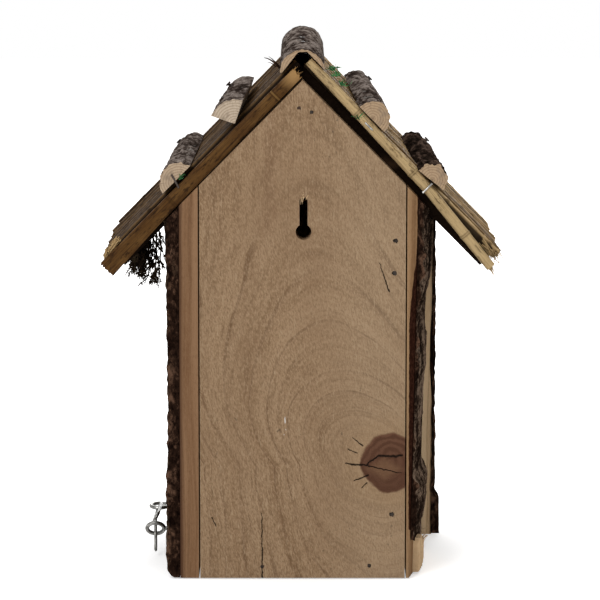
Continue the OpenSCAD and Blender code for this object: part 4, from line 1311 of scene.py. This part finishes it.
ROOF_LEN = 1000 * (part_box("ridge_log")[1][1]) - BACK + 2
lay_log(
    "left_lower_log", -1, arc_section(10.1, 8.38), 82.1, 0.7, 0.8 * ROOF_LEN - 0.7, 2.6, 0, 0, 71, 0.9,
    0.06, 0.7, ["log_left_lower"],
)
lay_log(
    "left_upper_log", -1, quarter_section(13.0, 64), 40.4, 0.7, 0.6 * ROOF_LEN, 4, -1.2, 0, 73, 0.6, 0.05,
    0.5, ["log_left_upper"],
)
lay_log(
    "right_upper_log", 1, arc_section(8.9, 9.6), 39.3, 0.3, 0.8 * ROOF_LEN - 0.3, 4.2, 1.0, 0, 79, 0.7,
    0.08, 0.6, ["log_right_upper"],
)
lay_log(
    "right_lower_log", 1, arc_section(8.4, 9.0), 83.5, 0.3, 0.76 * ROOF_LEN - 0.3, 4.2, 0.77, 7, 83, 1.3,
    0.06, 0.8, ["log_right_lower"], dark_log_bark,
)

grids, relief, pith = log_grids(notch_section(), ROOF_LEN - 2.3, 89, 0.55, 0.0, 0.5)
placed = [at_wall(a, 0.3 + y, np.minimum(APEX + c, 1000 * cad_box[1][2] - 0.05)) for a, y, c in grids]
points, faces, kinds = shell(*placed)
ring = np.concatenate([np.stack([g[0], g[1], g[2] - pith[1]], -1).reshape(-1, 3) for g in grids]) / 1000
make_piece(
    "ridge_log_skin", points, faces, [log_bark, log_end], "box", "log", ["ridge_log"], kinds, 45,
    relief=np.concatenate([relief.ravel(), np.full(relief.size, -0.5)]), pith=ring,
)

# %% [markdown]
# The roof is covered with canes, laid side by side. Each has its own thickness,
# its own slow bends and a ring at every joint of the plant. All canes of a
# slope are one array: cane, place along it, place round it.


# %% Canes of both slopes
def cane_cover(name, side, seed, flat, finish, slot, stands_for):
    """Rings of radius r (1 + noise) + joint, centred on s, y + bend, p + r; thinner canes follow towards
    the front."""
    y, radius = [], []
    at = 7.3
    while at < ROOF_LEN - 6:
        i = len(y)
        r = 2.72 - 0.95 * min((at - 7.3) / 125, 1) + 0.16 * float(lattice(i * 1.7, 0.5, 0.5, seed))
        y.append(at + r)
        radius.append(r)
        at += 2 * r + 0.25
    y, radius = np.array(y)[:, None], np.array(radius)[:, None]
    count = len(y)
    number = np.arange(count)[:, None]
    length = 140.5 + 5.5 * lattice(number * 1.3, 0.5, 0.5, seed + 3)
    t = np.linspace(0, 1, 64)[None, :]
    s = -4.3 + length * t
    spacing = 34 + 12 * lattice(number * 2.1, 0.5, 0.5, seed + 4)
    phase = 20 * lattice(number * 3.7, 0.5, 0.5, seed + 5)
    off = (s - phase) / spacing
    joint = np.exp(-((((off - np.round(off)) * spacing) / 1.3) ** 2))
    r = radius * (1 - 0.05 * t + 0.05 * lattice(s / 13, number * 1.9, 0.5, seed + 6)) + 0.22 * joint
    bend = 0.45 * lattice(s / 55, number * 2.3, 0.5, seed + 7)
    lift = 0.3 * np.abs(lattice(s / 70, number * 1.1, 0.5, seed + 8)) + np.maximum(
        0, 1.9 * lattice(number * 1.37, 0.5, 0.5, seed + 9),
    ) + 0.4 * t * lattice(number * 2.9, 0.5, 0.5, seed + 10)
    a = np.linspace(0, 2 * math.pi, 12, endpoint=False)[None, None, :]
    r3, s3 = r[..., None], s[..., None]
    rings = on_slope(
        side, s3 + 0 * a, (y + bend)[..., None] + r3 * np.cos(a),
        (4.6 + radius + lift)[..., None] + flat * r3 * np.sin(a) + 0 * s3,
    )
    points, faces = tubes(rings)
    shape = rings.shape[:3]

    def with_ends(values):
        grid = np.broadcast_to(values, shape).reshape(count, -1)
        return np.concatenate([grid, grid[:, [0, -1]]], 1).ravel()

    run = np.stack([with_ends(s3 / 1000), with_ends(number[..., None] * 1.0), with_ends(a * r3 / 1000)], -1)
    # crest is high on top of each cane and low under it; the finish paints shade from it.
    return make_piece(
        name, points, faces, [finish], "box", slot, stands_for, None, 60, run=run,
        joint=with_ends(joint[..., None]), crest=with_ends(np.sin(a)),
    )


cane_cover("left_canes", -1, 101, 0.86, split_cane, "bamboo", ["canes_left"])
cane_cover("right_canes", 1, 103, 1.0, round_cane, "cane", ["canes_right"])

# %% [markdown]
# The two rear edges of the covering are finished differently: the left one with
# a slat split from thick bamboo, standing on edge, the right one with a crooked
# round cane. Their joints and frayed ends are what the eye finds first.

# %% Edge slat and edge cane
s = np.linspace(-1, 141, 220)[:, None]
u = np.linspace(0, 1, 14)[None, :]
low = np.interp(s, [-1, 101, 141], [1.25, 0.45, -1.3])
high = np.interp(s, [-1, 141], [7.5, 7.8]) + 0.12 * lattice(s / 9, 0.2, 0.4, 201)
knuckle = 0.35 * np.exp(-(((s - 15.6) / 1.6) ** 2)) + 0.3 * np.exp(-(((s - 92) / 1.6) ** 2))
p = low + (high - low) * u
torn_top = -2.2 * np.clip(1 - (s + 1) / 3, 0, 1) * np.abs(lattice(u * 9, 0.5, 0.5, 203))
torn_foot = 1.0 * np.clip((s - 139) / 2, 0, 1) * lattice(u * 13, 0.3, 0.5, 204)
frayed = torn_top + torn_foot
outer = on_slope(-1, s - frayed, 0.75 + 0.9 * (2 * u - 1) ** 2 - knuckle, p)
inner = on_slope(-1, s - 0.7 * frayed, 5.6 + 0 * u, p)
points, faces, kinds = shell(outer, inner)
run = np.stack(np.broadcast_arrays(s / 1000, 0 * s + 3.0, p / 1000), -1).reshape(-1, 3)
ring = np.broadcast_to(knuckle / 0.35, p.shape).ravel()
make_piece(
    "edge_slat_skin", points, faces, [slat_bamboo, slat_bamboo], "box", "bamboo", ["edge_slat_left"], kinds,
    45, run=np.tile(run, (2, 1)), joint=np.tile(ring, 2),
)

s = np.linspace(-4.6, 137.5, 240)
bends_s, bends_p = [-4.6, 30, 73, 86, 137.5], [9.0, 8.3, 6.9, 6.6, 1.4]
p = np.interp(s, bends_s, bends_p)
soft = np.convolve(np.pad(p, 6, mode="edge"), np.ones(13) / 13, "valid")
joint = sum(np.exp(-(((s - at) / 1.2) ** 2)) for at in (31.9, 74.2, 116.0))
thick = np.interp(s, [-4.6, 20, 86, 137.5], [2.25, 2.6, 2.75, 2.55])
radius = thick * (1 + 0.03 * lattice(s / 9, 0.5, 0.5, 211)) + 0.32 * joint
path = on_slope(1, s, 3.75 + 0.25 * lattice(s / 40, 0.5, 0.5, 212), soft)
rings = along_path(path, radius / 1000, 20)[None]
points, faces = tubes(rings)
around = np.linspace(0, 2 * math.pi, 20, endpoint=False) * 0.0027
run = np.stack([np.repeat(s / 1000, 20), np.full(s.size * 20, 5.0), np.tile(around, s.size)], -1)
run = np.concatenate([run, run[[0, -1]]])
ring = np.concatenate([np.repeat(joint, 20), [0, 0]])
make_piece(
    "edge_cane_skin", points, faces, [edge_cane], "box", "cane", ["edge_cane_right"], None, 60, run=run,
    joint=ring,
)

# %% [markdown]
# Thin torn fibres stand out of the ends of the split pieces, out of the broken
# foot of the wall and into the keyhole, where a screw has scraped. They are
# tapered hairs along short bent paths, and the hairs of one place are one array.


# %% Splinters and frayed ends
def hairs(name, starts, ends, sag, radius, finish, slot, sides=5, rows=7):
    """Tapered tubes on start + (end - start) t + 4 sag t (1 - t), with a radius that falls as 1 - 0.8 t."""
    t = np.linspace(0, 1, rows)[None, :, None]
    starts, ends, sag = (np.asarray(v, float)[:, None, :] for v in (starts, ends, sag))
    path = starts + (ends - starts) * t + 4 * sag * t * (1 - t)
    size = np.asarray(radius, float).reshape(-1, 1) * (1 - 0.8 * t[..., 0])
    points, faces = tubes(along_path(path, size, sides))
    # A crest of 1 keeps the hairs free of the canes' painted shade.
    return make_piece(name, points, faces, [finish], "box", slot, sharp=60, crest=np.ones(len(points)))


def fray(name, starts, ends, bow, thin, thick, finish, slot):
    """Hairs that bow at random by about bow, with radii from thin to thick; all in metres."""
    count = len(starts)
    hairs(name, starts, ends, rng.normal(0, bow, (count, 3)), rng.uniform(thin, thick, count), finish, slot)


rng = np.random.default_rng(7)
some = rng.uniform

n = 9
start = on_slope(1, np.full(n, 134.5), 3.4 + some(-1.4, 1.4, n), 1.6 + some(-1.6, 1.6, n))
end = on_slope(1, some(138.5, 143.5, n), 3.4 + some(-2.2, 2.2, n), 1.0 + some(-2.4, 2.0, n))
fray("edge_cane_fibres", start, end, 0.0003, 0.0003, 0.0006, edge_cane, "cane")

n = 8
start = on_slope(-1, np.full(n, 2.0), 2.6 + some(-1.4, 1.4, n), 5.6 + some(-2.2, 1.6, n))
end = on_slope(-1, some(-3.4, -0.8, n), 2.6 + some(-1.8, 1.8, n), 5.4 + some(-2.6, 2.4, n))
fray("slat_fibres", start, end, 0.0003, 0.00025, 0.0005, slat_bamboo, "bamboo")

n = 11
foot_y, foot_z = some(20, 60, n), some(7, 15, n)
foot_x = wall_form(foot_y, foot_z, 2.6)
start = at_wall(foot_x, foot_y, foot_z)
end = at_wall(foot_x + some(0.8, 3.0, n), foot_y - 2, foot_z + some(2, 6, n))
fray("foot_splinters", start, end, 0.0010, 0.0002, 0.00045, slab_wood_and_painted_light, "slab_wood")

# %% [markdown]
# The two eaves are the worst: dozens of curled fibres, none longer than the
# frame's own box allows, so each end is held back inside it.

# %% Frayed eaves
LEFT_ROOM, RIGHT_ROOM = 0.0018, 0.0007

n = 60
start = on_slope(-1, some(124, 136, n), some(4.5, 13, n), some(6.5, 11.0, n))
end = on_slope(-1, some(134, 141.5, n), some(4, 13, n), some(4.5, 10.5, n))
end[:, 0] = np.maximum(end[:, 0], cad_box[0][0] + LEFT_ROOM)
fray("left_eave_fibres", start, end, 0.0006, 0.0002, 0.00045, round_cane, "bamboo")

n = 46
start = on_slope(1, some(124, 135, n), some(5, 14, n), some(5.5, 10.5, n))
end = on_slope(1, some(134, 141.0, n), some(4, 14, n), some(3.5, 9.5, n))
end[:, 0] = np.minimum(end[:, 0], cad_box[1][0] - RIGHT_ROOM)
fray("right_eave_fibres", start, end, 0.0007, 0.0002, 0.00045, edge_cane, "cane")

n = 12
start = on_slope(-1, np.full(n, 137.0), some(1.5, 4.5, n), some(-0.8, 5.5, n))
end = on_slope(-1, some(139.5, 141.6, n), some(1.2, 4.5, n), some(-1.6, 4.5, n))
fray("slat_end_fibres", start, end, 0.0002, 0.0003, 0.0006, edge_cane, "bamboo")

# %% [markdown]
# A dark splinter sticks out beside the ridge log, and the keyhole's slot ends in
# torn wood: a few fibres hang down into it, and three stand up on the face.

# %% Splinters at the ridge and in the keyhole
SLOT_X, SLOT_TOP = 0.5, 200.4

splinter_start = at_wall([-11.4, -12.6, -13.4], [3.2, 2.6, 3.0], [266.6, 268.2, 267.2])
splinter_end = at_wall([-19.6, -17.4, -18.4], [2.2, 2.0, 3.0], [272.0, 272.6, 269.6])
splinter_sag = [(0, 0, 0.0009), (0, 0, 0.0004), (0, 0, 0.0006)]
splinter_radius = [0.0008, 0.0004, 0.0004]
hairs("ridge_splinters", splinter_start, splinter_end, splinter_sag, splinter_radius, bark_break, "bark")

n = 12
torn_x = some(-1.7, 1.9, n)
start = at_wall(SLOT_X + torn_x, some(0.1, 0.5, n), SLOT_TOP - 0.25 * torn_x**2 + some(-0.1, 0.7, n))
end = at_wall(SLOT_X + torn_x + some(-0.9, 0.9, n), some(0.3, 1.6, n), SLOT_TOP - some(0.8, 4.4, n))
end[:3, 2] = start[:3, 2] + 0.0016
end[:3, 1] = (BACK - 0.15) / 1000
fray("keyhole_fibres", start, end, 0.0002, 0.0002, 0.00038, slab_wood_and_painted_light, "sawn_wood")

# %% [markdown]
# A nail that is driven below the face tears the wood round its head, and the
# fibres close over it. A small ring of the board's own wood does this. The same
# ring with hardly any hole is the plug over the door's pivot nail.


# %% Torn wood over the nail heads
def collars(name, middles, hole, outside, y_low, y_high, finish, slot):
    """Flat rings round the middles (x, z in mm): an uneven hole inside, round outside, from y_low to y_high
    behind the face."""
    turn = np.linspace(0, 2 * math.pi, 28, endpoint=False)
    step = np.linspace(0, 1, 4)[:, None]
    points, faces, count = [], [], 0
    for i, (x, z) in enumerate(middles):
        inner_r = hole * (1 + 0.28 * layered(1.3 * np.cos(turn), 1.3 * np.sin(turn), 3.7 * i, 91, 2))
        radius = inner_r * (1 - step) + outside * step
        gx, gz = x + radius * np.cos(turn), z + radius * np.sin(turn)
        ring_points, ring_faces, _ = shell(
            at_wall(gx, y_low + 0 * gx, gz), at_wall(gx, y_high + 0 * gx, gz), closed=True,
        )
        points.append(ring_points)
        faces += [f + count for f in ring_faces]
        count += len(ring_points)
    return make_piece(name, np.concatenate(points), faces, [finish], "box", slot)


HEADS = [
    (-1.8, 246.44), (4.7, 244.04), (47.6, 177.54), (47.1, 160.63), (46.1, 33.82), (-21.0, 6.0), (34.8, 6.6),
]
collars("nail_collars", HEADS, 1.0, 1.93, 0.03, 0.27, board_finish, "sawn_wood")
collars("pivot_plug", [(-57.2, 189.5)], 0.08, 1.5, -0.14, -0.02, post_finish, "slab_wood")

# %% [markdown]
# The front slab's bark curls round its sawn edge, so a ragged reddish strip of
# it shows behind the right wall.

# %% Bark round the slab's edge
z = np.linspace(0.6, 168, 200)[:, None]
u = np.linspace(0, 1, 8)[None, :]
x_outer = 74.9 - 2.3 * np.clip((z - 20.5) / 2.5, 0, 1) + 0.45 * layered(z / 5, 0.5, 0.5, 61, 3)
x_inner = 70.3 + 0.35 * layered(z / 9, 0.5, 0.5, 63, 3) + 0.6 * np.clip((z - 18) / 60, 0, 1)
x = x_inner + (x_outer - x_inner) * u
crumbled = layered(z / 4, u * 3, 0.5, 65, 3)
outer = at_wall(x, 110.4 - 0.35 * np.abs(crumbled) * np.sin(math.pi * u), z)
inner = at_wall(x, 111.3 + 0 * u, z)
points, faces, kinds = shell(outer, inner)
make_piece(
    "slab_edge_bark", points, faces, [bark_break, bark_break], "box", "bark", (), kinds, 50,
    relief=np.tile(crumbled.ravel(), 2),
)

# %% [markdown]
# Under the left eave hangs a tuft of heather. It is a dozen stems or so, each with
# many twigs that leave it at all angles, and each twig with short needles.

# %% Heather under the left eave
def tuft(name, roots, tips, twigs, needles, seed, finish):
    """Stems bow from roots to tips, twigs start along them and needles along the twigs: tapered tubes with
    5, 4 and 3 sides."""
    rng = np.random.default_rng(seed)
    roots, tips = np.asarray(roots, float), np.asarray(tips, float)
    t = np.linspace(0, 1, 6)[None, :, None]
    bow = rng.normal(0, 0.002, (len(roots), 1, 3))
    stem = roots[:, None] + (tips - roots)[:, None] * t + 4 * bow * t * (1 - t)
    where = rng.uniform(0.16, 0.98, (len(roots), twigs))
    base = np.stack(
        [roots + (tips - roots) * w[:, None] + 4 * bow[:, 0] * (w * (1 - w))[:, None] for w in where.T], 1,
    )
    down = (tips - roots) / np.linalg.norm(tips - roots, axis=1, keepdims=True)
    out = rng.normal(0, 1, base.shape)
    out /= np.linalg.norm(out, axis=-1, keepdims=True)
    aim_to = 0.75 * down[:, None] + 0.75 * out
    length = rng.uniform(0.004, 0.009, where.shape)[..., None] * (1.15 - 0.5 * where[..., None])
    base, far = base.reshape(-1, 3), (base + aim_to * length).reshape(-1, 3)
    twig = base[:, None] + (far - base)[:, None] * t + np.array([0, 0, -0.0008]) * t**2
    at = rng.uniform(0.25, 1.0, (len(base), needles))[..., None]
    foot = base[:, None] + (far - base)[:, None] * at
    leaf = rng.normal(0, 1, foot.shape)
    leaf = leaf / np.linalg.norm(leaf, axis=-1, keepdims=True) * 0.0016 + np.array([0, 0, -0.0010])
    foot, point = foot.reshape(-1, 3), (foot + leaf).reshape(-1, 3)
    t2 = np.linspace(0, 1, 3)[None, :, None]
    needle = foot[:, None] + (point - foot)[:, None] * t2
    parts = [
        tubes(along_path(stem, 0.0006 * (1 - 0.6 * t[..., 0]), 5)),
        tubes(along_path(twig, 0.00034 * (1 - 0.5 * t[..., 0]), 4)),
        tubes(along_path(needle, 0.00030 * (1 - 0.5 * t2[..., 0]), 3)),
    ]
    points, faces, count = [], [], 0
    for part_points, part_faces in parts:
        points.append(part_points)
        faces += [f + count for f in part_faces]
        count += len(part_points)
    return make_piece(
        name, np.concatenate(points), faces, [finish], "box", "heather", ["heather_sprig"], None, 80,
    )


twig_finish, r, shader = new_finish("heather_twig", rough=0.9, specular=0.0)
shade = r.noise(r.object_place(), 300.0, 3, 0.6)
r.feed(
    r.ramp(
        shade, (0.35, (0.014, 0.009, 0.007)), (0.52, (0.034, 0.022, 0.015)), (0.7, (0.075, 0.056, 0.032)),
    ),
    shader["Base Color"],
)
r.feed(r.bump(r.noise(r.object_place(), 2200.0, 2, 0.6), 0.0002, 0.6), shader["Normal"])

heather_lo, heather_hi = (np.array(v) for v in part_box("heather_sprig"))
rng = np.random.default_rng(5)
n = 14
root_x = rng.uniform(-0.0925, -0.0800, n)
root_y = heather_lo[1] + 0.35 * (heather_hi[1] - heather_lo[1]) + rng.uniform(-0.005, 0.005, n)
root = np.stack([root_x, root_y, roof_line(1000 * root_x, -3.0) / 1000], 1)
drop = np.interp(
    root_x, [-0.0925, -0.088, -0.0845, -0.08], [0.014, 0.024, 0.037, 0.04],
) * rng.uniform(0.75, 1.0, n)
tip = root + np.stack([rng.normal(0, 0.0022, n), rng.normal(0, 0.003, n), -drop], 1)
tuft("heather_tuft", root, tip, 17, 12, 17, twig_finish)

# %% [markdown]
# A few wisps of green moss have come with the logs. They are the smallest things
# in the picture, but they tell that nothing here was bought new.

# %% Moss wisps
moss_finish, r, shader = new_finish("moss_green", rough=0.9, specular=0.1)
shade = r.noise(r.object_place(), 400.0, 2, 0.6)
r.feed(
    r.ramp(shade, (0.35, (0.022, 0.07, 0.026)), (0.52, (0.045, 0.17, 0.06)), (0.7, (0.1, 0.29, 0.11))),
    shader["Base Color"],
)
r.feed(r.bump(shade, 0.0002, 0.5), shader["Normal"])


def moss(name, places, spread, count, seed):
    """Short curled threads round each place, scattered by spread, that end a millimetre or two up and
    out."""
    rng = np.random.default_rng(seed)
    places = np.repeat(np.asarray(places, float), count, 0)
    start = places + rng.normal(0, spread, places.shape) * [1, 1, 0.5]
    lean = rng.normal(0, 0.0016, places.shape)
    behind = (BACK + 1.0) / 1000
    start[:, 1] = np.maximum(start[:, 1], behind)
    lean[:, 1] = np.maximum(lean[:, 1], behind - start[:, 1])
    lean[:, 2] = np.abs(lean[:, 2]) * 0.9 + 0.0004
    return hairs(
        name, start, start + lean, rng.normal(0, 0.0004, places.shape),
        rng.uniform(0.00018, 0.00036, len(places)), moss_finish, "log", sides=4, rows=5,
    )


moss(
    "moss_wisps",
    [
        on_slope(1, 7.0, 4.0, 15.0), on_slope(1, 10.5, 4.0, 14.0), on_slope(1, 16.0, 5.0, 12.6),
        on_slope(1, 34.0, 1.2, 7.0), on_slope(-1, 80.0, 1.8, 10.0),
    ],
    0.0009, 20, 29,
)

# %% [markdown]
# What was sawn or bent from wire already has the right shape in the frame, so
# those pieces only take their finish. The nodes that new pieces stand for take
# one too, so that none is bare.


# %% Dress the frame's own pieces
def dress(material, *names):
    """Gives the frame's nodes a finish."""
    for name in names:
        data = nodes[name].data
        data.materials.clear()
        data.materials.append(material)


dress(board_finish, "back_board")
dress(plain_finish, "floor_board", "ridge_batten")
dress(post_finish, "left_post", "left_door")
dress(wall_finish, "right_wall")
dress(slab_wood_and_painted_light, "front_slab")
dress(roof_painted_shade, "roof_board_left", "roof_board_right")
dress(wire_steel, "eye_post", "eye_door", "latch_hook")
dress(staple_steel, "roof_staples")
dress(nail_steel, "wall_nails", "roof_nails", "log_nails", "pivot_nails")
dress(wall_bark, "post_bark", "door_bark", "right_bark", "front_bark")
dress(log_bark, "ridge_log", "log_left_lower", "log_left_upper", "log_right_upper", "log_right_lower")
dress(round_cane, "canes_left", "canes_right", "edge_slat_left", "edge_cane_right")
dress(twig_finish, "heather_sprig")

# %% [markdown]
# The dressed box must stay inside the frame's box, so the frame's box is printed.

# %% Sizes and finish
print("cad", [tuple(round(c, 4) for c in v) for v in cad_box])
